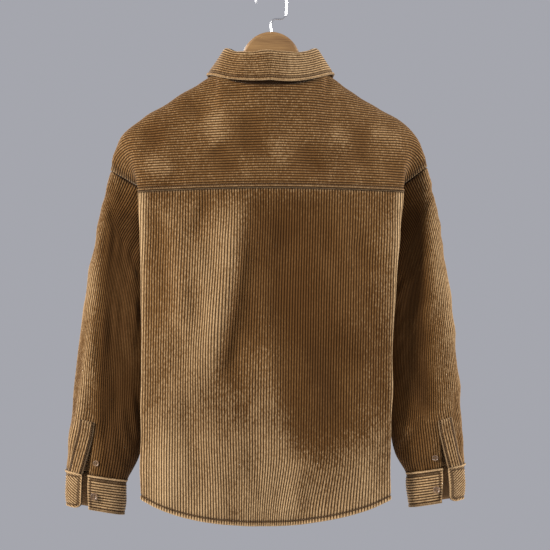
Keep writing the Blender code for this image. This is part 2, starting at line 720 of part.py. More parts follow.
def front_yoke_edge(station, side):
    """A point of the front yoke seam, which runs straight from station to station of the yoke."""
    first = int(np.argmax(YOKE_STATIONS == NECK_HALF))
    k = int(np.clip(np.searchsorted(YOKE_STATIONS, station, side="right") - 1, first, len(YOKE_STATIONS) - 2))
    ends = [along(over_shoulder(s, side, True), FRONT_YOKE_DEPTH) for s in YOKE_STATIONS[k:k + 2]]
    share = (station - YOKE_STATIONS[k]) / (YOKE_STATIONS[k + 1] - YOKE_STATIONS[k])
    return ends[0] + (ends[1] - ends[0]) * share


def front_line(side, share):
    """One line down a front from its top seam to the chest, as a dense path."""
    stations = np.array([0, FOLD_STATION, YOKE_HALF])
    station = np.interp(share, front_share(stations), stations)
    station = station if share * FRONT_WIDTH > FRONT_OVERLAP else share * FRONT_WIDTH - FRONT_OVERLAP
    chest = FRONTS[side].at(share, CHEST_Z)
    down = np.linspace(0, 1, 20)[:, None]
    if station < NECK_HALF:
        turn = front_yoke_turn(NECK_HALF, side)
        low = (turn + (1 - turn) * down[:, 0])
        first = neck_front(station / NECK_HALF, side)
        first = first + np.array([0, -side * FRONT_STEP * np.clip(1 - (station - 0.02) / 0.03, 0, 1), 0])
        reach = np.array([turn**SHOULDER_POWER, turn, turn**SHOULDER_POWER])
        apex = (first - chest * reach) / (1 - reach)
        return apex + (chest - apex) * np.column_stack([low**SHOULDER_POWER, low, low**SHOULDER_POWER])
    line = over_shoulder(station, side, True)
    line = line + (chest - line[-1]) * TURN[:, None] ** 2
    upper = along(line, np.linspace(FRONT_YOKE_DEPTH, lengths(line)[-1], 20))
    return upper + (front_yoke_edge(station, side) - upper[0]) * (1 - down) ** 2


def front_column(side, share, height):
    """Points of one front at a share of its width: at its top edge, the chest, the underarm and the hem."""
    front = FRONTS[side]
    hem = hem_z(share * BACK_HALF) + HEM_FRONT_RISE
    if share > FRONT_ARMHOLE + 1e-6:
        top = front_armhole_z(share) - SEAM_GAP
        levels = [top, top, min(UNDERARM_Z, top - 0.008), hem]
        return front.at(share, np.array(levels), height * np.array([0, 0, 0, 0.5]) if height > 0 else height)
    before, here, after = (front_line(side, s) for s in (max(share - 0.004, 0), share,
                                                         min(share + 0.004, FRONT_ARMHOLE)))
    normal = np.cross(here[1] - here[0], after[0] - before[0]) * -side
    normal = normal / np.linalg.norm(normal)
    top = along(here, SEAM_GAP) + normal * (height * 0.5 if height > 0 else height)
    under_sleeve = share > FRONT_FOLD + 0.03 and height > 0
    edge = np.array([0, 0, 0.5] if under_sleeve else [1, 1, 0.5]) if height > 0 else 1
    return np.vstack([top, front.at(share, np.array([CHEST_Z, UNDERARM_Z, hem]), height * edge * np.ones(3))])


def make_front(side, material):
    """One front, wales upright."""
    offsets, heights = wale_offsets(0, FRONT_WIDTH - SEAM_GAP)
    outer = [front_column(side, u / FRONT_WIDTH, h) for u, h in zip(offsets, heights)]
    inner = [front_column(side, u / FRONT_WIDTH, -CLOTH) for u in offsets]
    seam = int(np.searchsorted(offsets, FRONT_ARMHOLE * FRONT_WIDTH - 1e-6))
    keep = np.ones((3, len(offsets) - 1), bool)
    keep[0, seam:] = False
    name = "front_left" if side < 0 else "front_right"
    outer, inner = (np.array(grid).transpose(1, 0, 2) for grid in (outer, inner))
    return wall(name, outer, inner, material, keep, (seam,))


def make_sleeve(side, material):
    """One sleeve, wales lengthwise, with its slit open at the cuff."""
    sleeve = SLEEVES[side]
    back, front = sleeve.reach(0)
    offsets, heights = wale_offsets(-back, front)
    middle = int(np.searchsorted(offsets, -SLIT_OFFSET))
    columns = np.concatenate([offsets[middle:], offsets[:middle + 1]]) + SLIT_OFFSET
    lifts = np.concatenate([heights[middle:], heights[:middle + 1]])
    columns[0] = columns[-1] = 0
    lifts[0] = lifts[-1] = 0
    after = np.arange(len(columns)) < len(offsets) - middle
    edge = {0: 0.0, len(SLEEVE_ROWS) - 1: 0.5}
    outer, inner = [], []
    for k, v in enumerate(SLEEVE_ROWS):
        opening = np.where(after, 1, -1) * sleeve.gap(v) / 2 * np.exp(-np.abs(columns) / 0.014)
        places = columns + sleeve.slit(v) + opening
        reach_back, reach_front = sleeve.reach(v)
        inside = (places > -reach_back) & (places < reach_front)
        outer.append(sleeve.at(places, v, np.where(inside, lifts, 0) * edge.get(k, 1.0)))
        tip = np.clip(np.minimum(places + reach_back, reach_front - places) / TIP_REACH, TIP_CLOTH, 1)
        inner.append(sleeve.at(places, v, -CLOTH * (tip if k < 2 else np.ones(len(places)))))
    name = "sleeve_left" if side < 0 else "sleeve_right"
    return wall(name, np.array(outer), np.array(inner), material)


def make_placket(side, material):
    """The tower placket along the outer edge of a sleeve's slit, made from the sleeve's points moved out."""
    sleeve = SLEEVES[side]
    offsets, heights = wale_offsets(0, PLACKET_WIDTH)
    grids = []
    for lifts in (PLACKET_LIFT + heights, PLACKET_LIFT - CLOTH + 0 * heights):
        above, top, low = (sleeve.at(sleeve.slit(v) + sleeve.gap(v) / 2 + offsets, v, lifts)
                           for v in SLEEVE_ROWS[-3:])
        start = above + (top - above) * PLACKET_START
        grids.append(np.array([start, top, low]))
    name = "placket_left" if side < 0 else "placket_right"
    return wall(name, *grids, material, bend=0.0001)


def cuff_lines(side, shares, depth):
    """Points round a cuff at shares from the flap's end to the button's end, a depth below the sleeve."""
    sleeve = SLEEVES[side]
    back, front = sleeve.reach(LAST_RING)
    start = sleeve.slit(LAST_RING) + SLIT_GAP / 2
    end = sleeve.slit(LAST_RING) - SLIT_GAP / 2
    total = front - start + end + back
    offset = start + shares * total
    offset = np.where(offset > front, offset - front - back, offset)
    top = sleeve.at(offset, LAST_RING)
    middle = (sleeve.at(0, LAST_RING) + sleeve.at(front, LAST_RING)) / 2
    away = (top - middle) * np.array([1, 1, 0])
    away = away / np.linalg.norm(away, axis=-1, keepdims=True)
    depth = np.asarray(depth)[:, None]
    return top + np.array([0.001 * side, 0, -1]) * depth + away * CUFF_FLARE * depth / CUFF_DROP


def make_cuff(side, material):
    """One cuff, wales running round, open at the slit."""
    offsets, heights = wale_offsets(0, CUFF_DROP)
    depths = np.clip(offsets + SEAM_GAP, 0, CUFF_DROP)
    outer, inner = [], []
    for share in CUFF_STATIONS:
        near, line, far = (cuff_lines(side, np.full(len(depths), s), depths)
                           for s in (max(share - 0.004, 0), share, min(share + 0.004, 1)))
        normal = np.cross(far - near, np.array([0, 0, 1.0])) * side
        normal = normal / np.linalg.norm(normal, axis=1, keepdims=True)
        edge = 0.5 if share in (0, 1) else 1.0
        outer.append(line + normal * heights[:, None] * edge)
        inner.append(line - normal * COLLAR_CLOTH)
    name = "cuff_left" if side < 0 else "cuff_right"
    return wall(name, np.array(outer), np.array(inner), material)


def neck_frame(shares):
    """Points round the neck seam at signed shares from the back's centre, and the level way out at each."""
    points = np.empty((len(shares), 3))
    for k, share in enumerate(shares):
        side = -1 if share < 0 else 1
        path, centre = neck_half(side)
        points[k] = along(path, abs(share) * centre)
        layer = np.clip((abs(share) - 0.66) / 0.20, 0, 1)
        points[k, 1] += -side * STAND_STEP * layer * layer * (3 - 2 * layer)
    away = points * np.array([1, 1.6, 0])
    return points, away / np.linalg.norm(away, axis=1, keepdims=True)


def collar_row(shares):
    """The collar's sizes at signed shares round the neck."""
    return spline([row.along for row in COLLAR], [row[1:] for row in COLLAR], np.minimum(np.abs(shares), 1)).T


def collar_fold(shares):
    """The collar's fold line, the way out and the way along at each place."""
    base, away = neck_frame(shares)
    lean, rise = collar_row(shares)[:2]
    return base - away * lean[:, None] + np.outer(rise, [0, 0, 1]), away


def make_stand(material):
    """The collar stand, from the neck seam up to the fold."""
    between = (COLLAR_STATIONS[1:] + COLLAR_STATIONS[:-1]) / 2
    half = np.append(np.sort(np.concatenate([COLLAR_STATIONS, between])), 1.055)
    shares = np.concatenate([-half[:0:-1], half])
    base, away = neck_frame(shares)
    fold, _ = collar_fold(shares)
    for grid in (fold, away):
        for k in range(2, len(shares) - 2, 2):
            grid[k] = (grid[k - 1] + grid[k + 1]) / 2
    climb = fold - base
    start = 0.0009 / climb[:, 2:]
    outer = np.stack([base + climb * (start + (1 - start) * h) for h in np.linspace(0, 1, 4)], axis=1)
    return wall("collar_stand", outer, outer - (away * COLLAR_CLOTH)[:, None], material)


def make_leaf(material):
    """The collar leaf: it rolls over the stand's top and falls outside it, wales running round."""
    shares = np.concatenate([-COLLAR_STATIONS[:0:-1], COLLAR_STATIONS])
    fold, away = collar_fold(shares)
    _, _, out, down, spread = collar_row(shares)
    up = np.array([0, 0, 1.0])
    profiles = []
    for reach, drop, share in zip(out, down, shares):
        over = 2 * STAND_STEP * np.clip((share - 0.66) / 0.20, 0, 1)
        corner = np.array([LEAF_ROLL + over, LEAF_TOP])
        end = np.array([reach + over, -drop])
        fall = (end - corner) / np.linalg.norm(end - corner)
        turn = turned_corner(corner - [0.004, 0], corner, corner + fall * 0.004)
        profiles.append(np.vstack([[-0.0012, LEAF_TOP], turn, end]))
    length = max(lengths(path)[-1] for path in profiles)
    offsets, heights = wale_offsets(0, length)
    outer, inner = [], []
    for k, path in enumerate(profiles):
        places = offsets * lengths(path)[-1] / length
        flat = along(path, places)
        ahead = along(path, places + 0.0008) - along(path, places - 0.0008)
        normal = np.column_stack([-ahead[:, 1], ahead[:, 0]])
        normal = normal / np.linalg.norm(normal, axis=1, keepdims=True)
        edge = 0.5 if k in (0, len(profiles) - 1) else 1.0
        for grid, lift in ((outer, heights * edge), (inner, heights * 0 - COLLAR_CLOTH)):
            place = flat + normal * lift[:, None]
            slide = np.clip(-place[:, 1] / down[k], 0, 1) * spread[k] * np.sign(shares[k])
            grid.append(fold[k] + np.outer(place[:, 0], away[k]) + np.outer(place[:, 1], up)
                        + np.outer(slide, [1, 0, 0]))
    return wall("collar_leaf", np.array(outer), np.array(inner), material)


def add_button(name, centre, normal, radius, material):
    """A flat round button whose back rests at a point."""
    normal = np.array(normal) / np.linalg.norm(normal)
    mesh = bmesh.new()
    bmesh.ops.create_cone(mesh, cap_ends=True, segments=BUTTON_SIDES, radius1=radius, radius2=radius,
                          depth=BUTTON_THICK)
    obj = add_object(name, mesh, material)
    obj.location = centre + normal * (BUTTON_THICK / 2)
    tilt = math.acos(np.clip(normal[2], -1, 1))
    obj.rotation_euler = (0, tilt, math.atan2(normal[1], normal[0]))
    return obj


def make_buttons(material):
    """Buttons of the front, the stand, the plackets and the cuffs."""
    share = FRONT_OVERLAP / FRONT_WIDTH
    seat = WALE_HEIGHT + SEAM_GAP + 0.0003
    for k, z in enumerate(np.linspace(-0.262, -0.778, 7)):
        path = front_column(-1, share, 0.0)[::-1]
        point = np.array([np.interp(z, path[:, 2], path[:, k]) for k in range(3)])
        add_button(f"button_front_{k + 1}", point + np.array([0, seat, 0]), (0, 1, 0), 0.0060, material)
    shares = np.array([-1.0])
    base, away = neck_frame(shares)
    fold, _ = collar_fold(shares)
    point = base[0] + (fold[0] - base[0]) * 0.5
    add_button("button_stand", point + away[0] * 0.0006, away[0], 0.0055, material)
    for side, word in ((-1, "left"), (1, "right")):
        sleeve = SLEEVES[side]
        point, lifted = [], []
        for v in SLEEVE_ROWS[-2:]:
            offset = sleeve.slit(v) - sleeve.gap(v) / 2 - 0.0085
            point.append(sleeve.at(offset, v, 0.0))
            lifted.append(sleeve.at(offset, v, 1.0))
        point = point[0] + (point[1] - point[0]) * 0.62
        lifted = lifted[0] + (lifted[1] - lifted[0]) * 0.62
        add_button(f"button_placket_{word}", point + (lifted - point) * seat, lifted - point, 0.0050, material)
        first, last = cuff_lines(side, CUFF_STATIONS[-2:], np.full(2, CUFF_BUTTON_DEPTH))
        normal = np.cross(last - first, [0, 0, 1.0]) * side
        normal = normal / np.linalg.norm(normal)
        point = first + (last - first) * 0.58 + normal * (seat - 0.0004)
        add_button(f"button_cuff_{word}", point, normal, 0.0060, material)


def make_hanger(material):
    """The wooden hanger: a hump at the neck and two arms that lie under the shoulders."""
    arc = math.radians(52)
    hump = [(WOOD_HUMP * 0.78 * math.sin(a), WOOD_TOP_Z - WOOD_HUMP * (1 - math.cos(a)) * 0.9)
            for a in np.linspace(-arc, arc, 9)]

    def arm(side):
        path, _ = RIDGES[side]
        xs = np.array([0.100, 0.125, 0.155, 0.185, 0.205])
        zs = np.interp(xs, path[:, 0] * side, path[:, 2])
        under = CLOTH + WOOD_SEAT
        slope = np.arctan(np.gradient(zs, xs))
        top = [(x * side, z - under / math.cos(a)) for x, z, a in zip(xs, zs, slope)]
        neck = [(0.062 * side, top[0][1] + 0.0215), (0.084 * side, top[0][1] + 0.0055)]
        end_x, end_z = top[-1]
        end = [(end_x + side * 0.0085, end_z - 0.010), (end_x + side * 0.0055, end_z - 0.019),
               (end_x - side * 0.006, end_z - 0.022)]
        low = [(0.150 * side, top[2][1] - 0.029), (0.075 * side, -0.168)]
        return neck + top + end + low

    right, left = arm(1), arm(-1)
    outline = hump + right + [(0.0, -0.130)] + left[::-1]
    curve = bpy.data.curves.new("hanger_wood", "CURVE")
    curve.dimensions = "2D"
    curve.fill_mode = "BOTH"
    curve.extrude = WOOD_THICK / 2 - WOOD_BEVEL
    curve.bevel_depth = WOOD_BEVEL
    curve.bevel_resolution = 1
    curve.offset = -WOOD_BEVEL
    shape = curve.splines.new("POLY")
    shape.points.add(len(outline) - 1)
    for point, (x, z) in zip(shape.points, outline):
        point.co = (x, z, 0, 1)
    shape.use_cyclic_u = True
    obj = bpy.data.objects.new("hanger_wood", curve)
    obj.rotation_euler = (math.pi / 2, 0, 0)
    obj.data.materials.append(material)
    SHIRT.objects.link(obj)
    return obj


def make_hook(material):
    """The wire hook: a stem with a jog, then an open round hook whose inside top is the origin."""
    centre = WIRE / 2 - HOOK_RADIUS
    route = [(0.0005, WOOD_TOP_Z + SEAM_GAP), (0.0005, -0.0625), (0.0022, -0.0590), (0.0205, -0.0550),
             (0.0238, -0.0520), (HOOK_RADIUS, -0.0470)]
    route += [(HOOK_RADIUS * math.cos(a), centre + HOOK_RADIUS * math.sin(a))
              for a in np.linspace(0, math.pi * 1.12, 17)]
    curve = bpy.data.curves.new("hanger_hook", "CURVE")
    curve.dimensions = "3D"
    curve.bevel_depth = WIRE / 2
    curve.bevel_resolution = 1
    curve.use_fill_caps = True
    shape = curve.splines.new("POLY")
    shape.points.add(len(route) - 1)
    for point, (x, z) in zip(shape.points, route):
        point.co = (x, 0, z, 1)
    obj = bpy.data.objects.new("hanger_hook", curve)
    obj.data.materials.append(material)
    SHIRT.objects.link(obj)
    return obj


for item in list(bpy.data.objects):
    bpy.data.objects.remove(item)
SHIRT = bpy.data.collections.new("corduroy_overshirt")
bpy.context.scene.collection.children.link(SHIRT)
cloth = finish("corduroy", BROWN, 0.9)
horn = finish("button", HORN, 0.4)
make_back(cloth)
make_yoke(cloth)
for which in (-1, 1):
    make_front(which, cloth)
    make_sleeve(which, cloth)
    make_placket(which, cloth)
    make_cuff(which, cloth)
make_stand(cloth)
make_leaf(cloth)
make_buttons(horn)
make_hanger(finish("wood", WOOD, 0.45))
make_hook(finish("steel", STEEL, 0.25, 1.0))
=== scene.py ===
"""The looks of a corduroy overshirt on a wooden hanger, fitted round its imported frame.

The origin is the inside top of the hook, the back faces -Y and +Z is up. Every panel is a thin shell: its
outer face carries the wales of the cloth and the creases of wear, its inner face is the plain weave.
"""
import logging
import math
from collections.abc import Callable
from dataclasses import dataclass, field, replace
from enum import Enum, IntEnum
from functools import cached_property, lru_cache

import bpy
import numpy as np
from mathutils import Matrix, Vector


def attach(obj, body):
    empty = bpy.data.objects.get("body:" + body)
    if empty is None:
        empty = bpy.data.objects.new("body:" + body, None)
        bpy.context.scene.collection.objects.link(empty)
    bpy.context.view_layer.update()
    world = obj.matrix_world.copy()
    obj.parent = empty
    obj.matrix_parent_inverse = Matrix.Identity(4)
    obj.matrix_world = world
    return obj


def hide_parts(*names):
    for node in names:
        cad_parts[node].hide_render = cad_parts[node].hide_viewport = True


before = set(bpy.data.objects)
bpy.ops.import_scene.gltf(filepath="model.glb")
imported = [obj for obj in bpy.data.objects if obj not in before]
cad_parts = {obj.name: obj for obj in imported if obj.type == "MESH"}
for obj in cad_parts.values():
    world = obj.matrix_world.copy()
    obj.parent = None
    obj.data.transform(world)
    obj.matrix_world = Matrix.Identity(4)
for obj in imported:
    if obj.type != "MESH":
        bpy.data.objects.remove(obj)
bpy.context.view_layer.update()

Array = np.ndarray
Colour = tuple[float, float, float]
Material = bpy.types.Material
Pieces = list[bpy.types.Object]
LOG = logging.getLogger("overshirt")

# In metres: the pitch of the wales, the pile's height over the valleys, the cloth under it, half a joint of
# two panels, the height of a crease with the full painted shade, and a hem's stitches above its edge.
PITCH = 0.0042
PILE = 0.0011
CLOTH = 0.0014
GAP = 0.0003
FOLD_HEIGHT = 0.011
HEM_STITCH = 0.0072
# One wale from its valley on, as shares of the pitch and of the pile, and the pile on a panel's edge.
WALE_SHAPE = ((0.0, 0.0), (0.17, 0.72), (0.5, 1.0), (0.83, 0.72))
EDGE_PILE = 0.35
# Distances of the close rows of vertices from a hem and from a top seam, and from them to the even rows.
HEM_ROWS = np.array([0, 0.0012, 0.0030, 0.0050, 0.0064, 0.0076, 0.0092, 0.0120, 0.0170])
TOP_ROWS = np.array([0.0, 0.0020, 0.0045])
ROW_GAP = 0.004


class Side(IntEnum):
    """The two sides of the garment as seen from behind."""

    LEFT = -1
    RIGHT = 1

    @property
    def word(self) -> str:
        """The side's name in a piece's name."""
        return self.name.lower()


class Half(Enum):
    """Whether a surface belongs to the back or the front of the garment."""

    BACK = "back"
    FRONT = "front"


class Seed(IntEnum):
    """Where the random draws of each surface start."""

    BACK = 3
    BACK_HEM = 5
    FRONT_HEM = 8
    YOKE = 11
    FRONT = 17
    SLEEVE = 23
    CUFF = 31
    STAND = 41
    LEAF = 47


def ease(value: Array | float) -> Array:
    """Smooth step from 0 to 1."""
    t = np.clip(value, 0, 1)
    return t * t * (3 - 2 * t)


def bell(distance: Array, width: float | Array) -> Array:
    """A soft bump of a half width, 1 in its middle."""
    return np.exp(-((distance / width) ** 2))


def unit(vectors: Array) -> Array:
    """Vectors brought to length 1."""
    return vectors / np.maximum(np.linalg.norm(vectors, axis=-1, keepdims=True), 1e-12)


def spline(keys: Array, values: Array, at: Array) -> Array:
    """Reads a smooth curve through values.

    Args:
        keys: Rising places of the values.
        values: One value or row of values for each key.
        at: Places to read.

    Returns:
        The values at those places.
    """
    keys, values, at = (np.asarray(item, float) for item in (keys, values, at))
    slopes = np.gradient(values, keys, axis=0)
    place = np.clip(np.searchsorted(keys, at, side="right") - 1, 0, len(keys) - 2)
    step = keys[place + 1] - keys[place]
    t = np.clip((at - keys[place]) / step, 0, 1)
    shape = t.shape + (1,) * (values.ndim - 1)
    t, step = t.reshape(shape), step.reshape(shape)
    first = (2 * t**3 - 3 * t**2 + 1) * values[place] + (t**3 - 2 * t**2 + t) * step * slopes[place]
    return first + (3 * t**2 - 2 * t**3) * values[place + 1] + (t**3 - t**2) * step * slopes[place + 1]


def lengths(path: Array) -> Array:
    """Distance along a path at each of its points."""
    return np.concatenate([[0], np.cumsum(np.linalg.norm(np.diff(path, axis=0), axis=1))])


def between(at: Array, keys: Array, rows: Array) -> Array:
    """Rows of numbers read between their keys, straight from one to the next."""
    return np.stack([np.interp(at, keys, rows[:, k]) for k in range(rows.shape[1])], axis=-1)


def along(path: Array, distances: Array) -> Array:
    """Points of a path at distances along it."""
    return between(distances, lengths(path), path)


def turned_corner(start: Array, corner: Array, end: Array, steps: int = 8) -> Array:
    """A corner turned into a parabola."""
    t = np.linspace(0, 1, steps)[:, None]
    return (1 - t) ** 2 * start + 2 * t * (1 - t) * corner + t**2 * end


@dataclass
class Chart:
    """A surface kept on a grid of two coordinates and read back between its points."""

    us: Array
    vs: Array
    points: Array
    outwards: int

    @cached_property
    def normals(self) -> Array:
        """The grid's unit normals, pointing out of the garment."""
        along_u = np.gradient(self.points, self.us, axis=0)
        along_v = np.gradient(self.points, self.vs, axis=1)
        return unit(np.cross(along_u, along_v) * self.outwards)

    def read(self, values: Array, u: Array, v: Array) -> Array:
        """Values of the grid read at (u, v).

        Args:
            values: One row of numbers for each point of the grid.
            u: First coordinates.
            v: Second coordinates.

        Returns:
            The rows at those places.
        """
        u, v = np.broadcast_arrays(np.asarray(u, float), np.asarray(v, float))
        iu = np.interp(u, self.us, np.arange(len(self.us)))
        iv = np.interp(v, self.vs, np.arange(len(self.vs)))
        i = np.clip(iu.astype(int), 0, len(self.us) - 2)
        j = np.clip(iv.astype(int), 0, len(self.vs) - 2)
        fu, fv = (iu - i)[..., None], (iv - j)[..., None]
        near = values[i, j] * (1 - fv) + values[i, j + 1] * fv
        far = values[i + 1, j] * (1 - fv) + values[i + 1, j + 1] * fv
        return near * (1 - fu) + far * fu

    def at(self, u: Array, v: Array, out: Array | float = 0.0) -> Array:
        """Points at (u, v), moved out from the surface."""
        normals = unit(self.read(self.normals, u, v))
        return self.read(self.points, u, v) + normals * np.asarray(out, float)[..., None]


@dataclass(frozen=True)
class Crease:
    """A soft ridge or trough of worn cloth, drawn square on as (x, z), with a half width on each side."""

    route: tuple[tuple[float, float], ...]
    out: float
    left: float
    right: float

    def relief(self, x: Array, z: Array) -> Array:
        """How far the crease stands out at each place.

        Args:
            x: Places across the garment.
            z: Heights.

        Returns:
            Heights out of the cloth, negative in a trough.
        """
        steps = 14
        line = spline(np.linspace(0, 1, len(self.route)), self.route, np.linspace(0, 1, steps + 1))
        best = np.full(x.shape, np.inf)
        result = np.zeros(x.shape)
        for k in range(steps):
            start, way = line[k], line[k + 1] - line[k]
            t = np.clip(((x - start[0]) * way[0] + (z - start[1]) * way[1]) / (way @ way), 0, 1)
            dx, dz = x - start[0] - t * way[0], z - start[1] - t * way[1]
            distance = np.hypot(dx, dz)
            width = np.where(way[1] * dx - way[0] * dz > 0, self.left, self.right)
            ends = ease((k + t) / steps * 3.5) * ease((1 - (k + t) / steps) * 3.5)
            closer = distance < best
            result = np.where(closer, ends * np.exp(-((distance / width) ** 2)), result)
            best = np.minimum(best, distance)
        return result * self.out


def drawn(*rows: tuple[float, ...]) -> tuple[Crease, ...]:
    """Creases from rows in millimetres: x and z of each point of the route, then out, left and right."""
    scaled = (tuple(size / 1000 for size in row) for row in rows)
    return tuple(Crease(tuple(zip(row[:-3:2], row[1:-3:2])), *row[-3:]) for row in scaled)


def creased(creases: tuple[Crease, ...], x: Array, z: Array) -> Array:
    """The relief of several creases together.

    Args:
        creases: The creases.
        x: Places across the garment.
        z: Heights.

    Returns:
        Heights out of the cloth.
    """
    total = np.zeros(np.broadcast(x, z).shape)
    for crease in creases:
        total += crease.relief(x, z)
    return total


def ripple(x: Array, z: Array, seed: int, height: float, length: float = 0.055) -> Array:
    """Low uneven waves that no cloth is without.

    Args:
        x: Places across the cloth.
        z: Places along it.
        seed: Start of the random draw.
        height: Rough height of the waves.
        length: Rough distance from crest to crest.

    Returns:
        Heights out of the cloth.
    """
    draw = np.random.default_rng(seed)
    total = np.zeros(np.broadcast(x, z).shape)
    draws = (draw.uniform(0, math.pi, 6), draw.uniform(0, 6.3, 6), draw.uniform(0.6, 1.7, 6))
    for turn, phase, scale in zip(*draws):
        wave = 2 * math.pi / (length * scale)
        total += np.sin((x * math.cos(turn) * 1.5 + z * math.sin(turn)) * wave + phase)
    return total * height / 2.4


def puckered(run: Array, height: float, pitch: float, wander: float, length: float) -> Array:
    """Small puckers along a seam, whose spacing wanders over a longer length."""
    return height * np.sin(run / pitch + wander * np.sin(run / length))


@dataclass(frozen=True)
class Level:
    """The body's sizes at one height."""

    z: float
    shift: float
    back_y: float
    fold_x: float
    fold_y: float
    seam_x: float
    seam_y: float
    front_x: float
    front_fold_y: float
    front_y: float


@dataclass(frozen=True)
class Fold:
    """A broad soft fold of the back."""

    x_top: float
    z_top: float
    x_low: float
    z_low: float
    width: float
    out: float


@dataclass
class Body:
    """The hanging body of the garment as surfaces, which the panels and the sleeves share."""

    back_half: float = 0.290
    chest_z: float = -0.337
    underarm_z: float = -0.490
    yoke_half: float = 0.2592
    fold_station: float = 0.214
    armhole_power: float = 2.2
    dome_power: float = 2.4
    fold_cut: float = 0.012
    fold_round: float = 0.0045
    fold_point: int = 33
    side_from: float = 0.235
    overlap: float = 0.015
    front_step: float = 0.0017
    front_top_seam: tuple[float, float] = (0.175, 0.004)
    front_width: float = 0.2508
    front_fold: float = 0.81
    front_armhole: float = 0.928230
    front_thick: float = 0.014
    shoulder_power: float = 2.4
    neck_power: float = 1.2
    cap_round: float = 0.012
    neck_half: float = 0.086
    neck_back_y: float = -0.045
    neck_back_z: float = -0.164
    neck_side_z: float = -0.144
    neck_front: tuple[float, float, float] = (0.0, 0.046, -0.214)
    neck_tuck: float = 0.010
    neck_tuck_reach: float = 0.050
    front_yoke_depth: float = 0.045
    yoke_seam_top_z: float = -0.329
    hem_centre_z: float = -0.861
    hem_fold_z: float = -0.813
    hem_side_z: float = -0.796
    hem_front_rise: float = 0.012
    tip_point: int = 3
    levels: tuple[Level, ...] = (
        Level(-0.300, 0.0000, -0.061, 0.2115, -0.043, 0.193, 0.002, 0.200, 0.036, 0.046),
        Level(-0.337, 0.0000, -0.063, 0.2095, -0.044, 0.189, 0.002, 0.199, 0.036, 0.046),
        Level(-0.490, -0.0038, -0.073, 0.2008, -0.050, 0.151, 0.006, 0.192, 0.040, 0.045),
        Level(-0.670, -0.0062, -0.071, 0.1985, -0.047, 0.147, 0.006, 0.190, 0.040, 0.043),
        Level(-0.880, -0.0090, -0.062, 0.1978, -0.041, 0.150, 0.006, 0.190, 0.037, 0.040),
    )
    folds: tuple[Fold, ...] = (
        Fold(-0.040, -0.345, -0.085, -0.640, 0.026, 0.0050),
        Fold(-0.150, -0.360, -0.130, -0.560, 0.020, 0.0030),
        Fold(0.020, -0.370, 0.035, -0.620, 0.032, -0.0045),
        Fold(0.105, -0.360, 0.150, -0.600, 0.024, 0.0035),
        Fold(-0.060, -0.700, -0.040, -0.860, 0.030, 0.0030),
        Fold(0.085, -0.660, 0.100, -0.860, 0.034, -0.0030),
    )
    ridge_left: tuple[tuple[float, float], ...] = (
        (0.086, -0.144), (0.134, -0.1725), (0.2055, -0.2175), (0.226, -0.2310), (0.240, -0.249),
        (0.252, -0.277), (0.256, -0.299),
    )
    ridge_right: tuple[tuple[float, float], ...] = (
        (0.086, -0.144), (0.137, -0.1795), (0.1860, -0.2095), (0.218, -0.2290), (0.231, -0.2435),
        (0.243, -0.270), (0.249, -0.293),
    )
    turn: Array = field(default_factory=lambda: np.linspace(0, 1, 61))

    def __post_init__(self) -> None:
        """Makes the surfaces in the order in which they need each other."""
        self.back = self._back_chart()
        self.fronts = {side: self._front_chart(side) for side in Side}
        self.ridges = {side: self._ridge(side) for side in Side}
        self.line = lru_cache(maxsize=None)(self._line)
        self.half_neck = lru_cache(maxsize=None)(self._half_neck)

    def level_at(self, z: Array | float) -> Level:
        """The body's sizes at a height, straight along the side seam and curved elsewhere.

        Args:
            z: Heights.

        Returns:
            The sizes, each shaped like the heights.
        """
        keys = [-row.z for row in self.levels]
        names = list(Level.__dataclass_fields__)[1:]
        rows = np.array([[getattr(row, name) for name in names] for row in self.levels])
        smooth = spline(keys, rows, -np.asarray(z, float))
        straight = [np.interp(-np.asarray(z, float), keys, rows[:, k]) for k in range(len(names))]
        values = [straight[k] if name.startswith("seam") else smooth[..., k] for k, name in enumerate(names)]
        return Level(z, *values)

    def half_section(self, middle_y: float, fold_x: float, fold_y: float, seam: Array, reach: float,
                     thick: float = 0.0) -> Array:
        """Half an outline of the body: a flat dome, a rounded fold and the run behind it to the seam.

        Args:
            middle_y: Depth at the centre line.
            fold_x: Half width at the fold.
            fold_y: Depth at the fold.
            seam: The side seam's (x, y).
            reach: How far the run goes on from the fold.
            thick: Height of a blunt fold.

        Returns:
            The outline as a path of (x, y).
        """
        x = np.linspace(0, fold_x - self.fold_cut, 26)
        dome = np.column_stack([x, middle_y + (fold_y - middle_y) * (x / fold_x) ** self.dome_power])
        corner = np.array([fold_x + self.fold_round, fold_y])
        low = corner - [0, thick]
        run = unit(np.array(seam) - low)
        if thick:
            middle = (corner + low) / 2
            first = turned_corner(dome[-1], corner, middle)
            turns = np.vstack([first, turned_corner(middle, low, low + run * thick / 2)])
        else:
            turns = turned_corner(dome[-1], corner, corner + run * self.fold_cut)
        return np.vstack([dome, turns[1:], low + run * reach])

    def fold_relief(self, x: Array, z: float) -> Array:
        """How far the broad folds of the back stand out.

        Args:
            x: Places across the garment.
            z: Heights.

        Returns:
            Distances out of the back.
        """
        out = np.zeros_like(x)
        for fold in self.folds:
            t = (fold.z_top - z) / (fold.z_top - fold.z_low)
            middle = fold.x_top + (fold.x_low - fold.x_top) * t
            out += fold.out * ease(t * 4) * ease((1.12 - t) * 3) * bell(x - middle, fold.width)
        return out

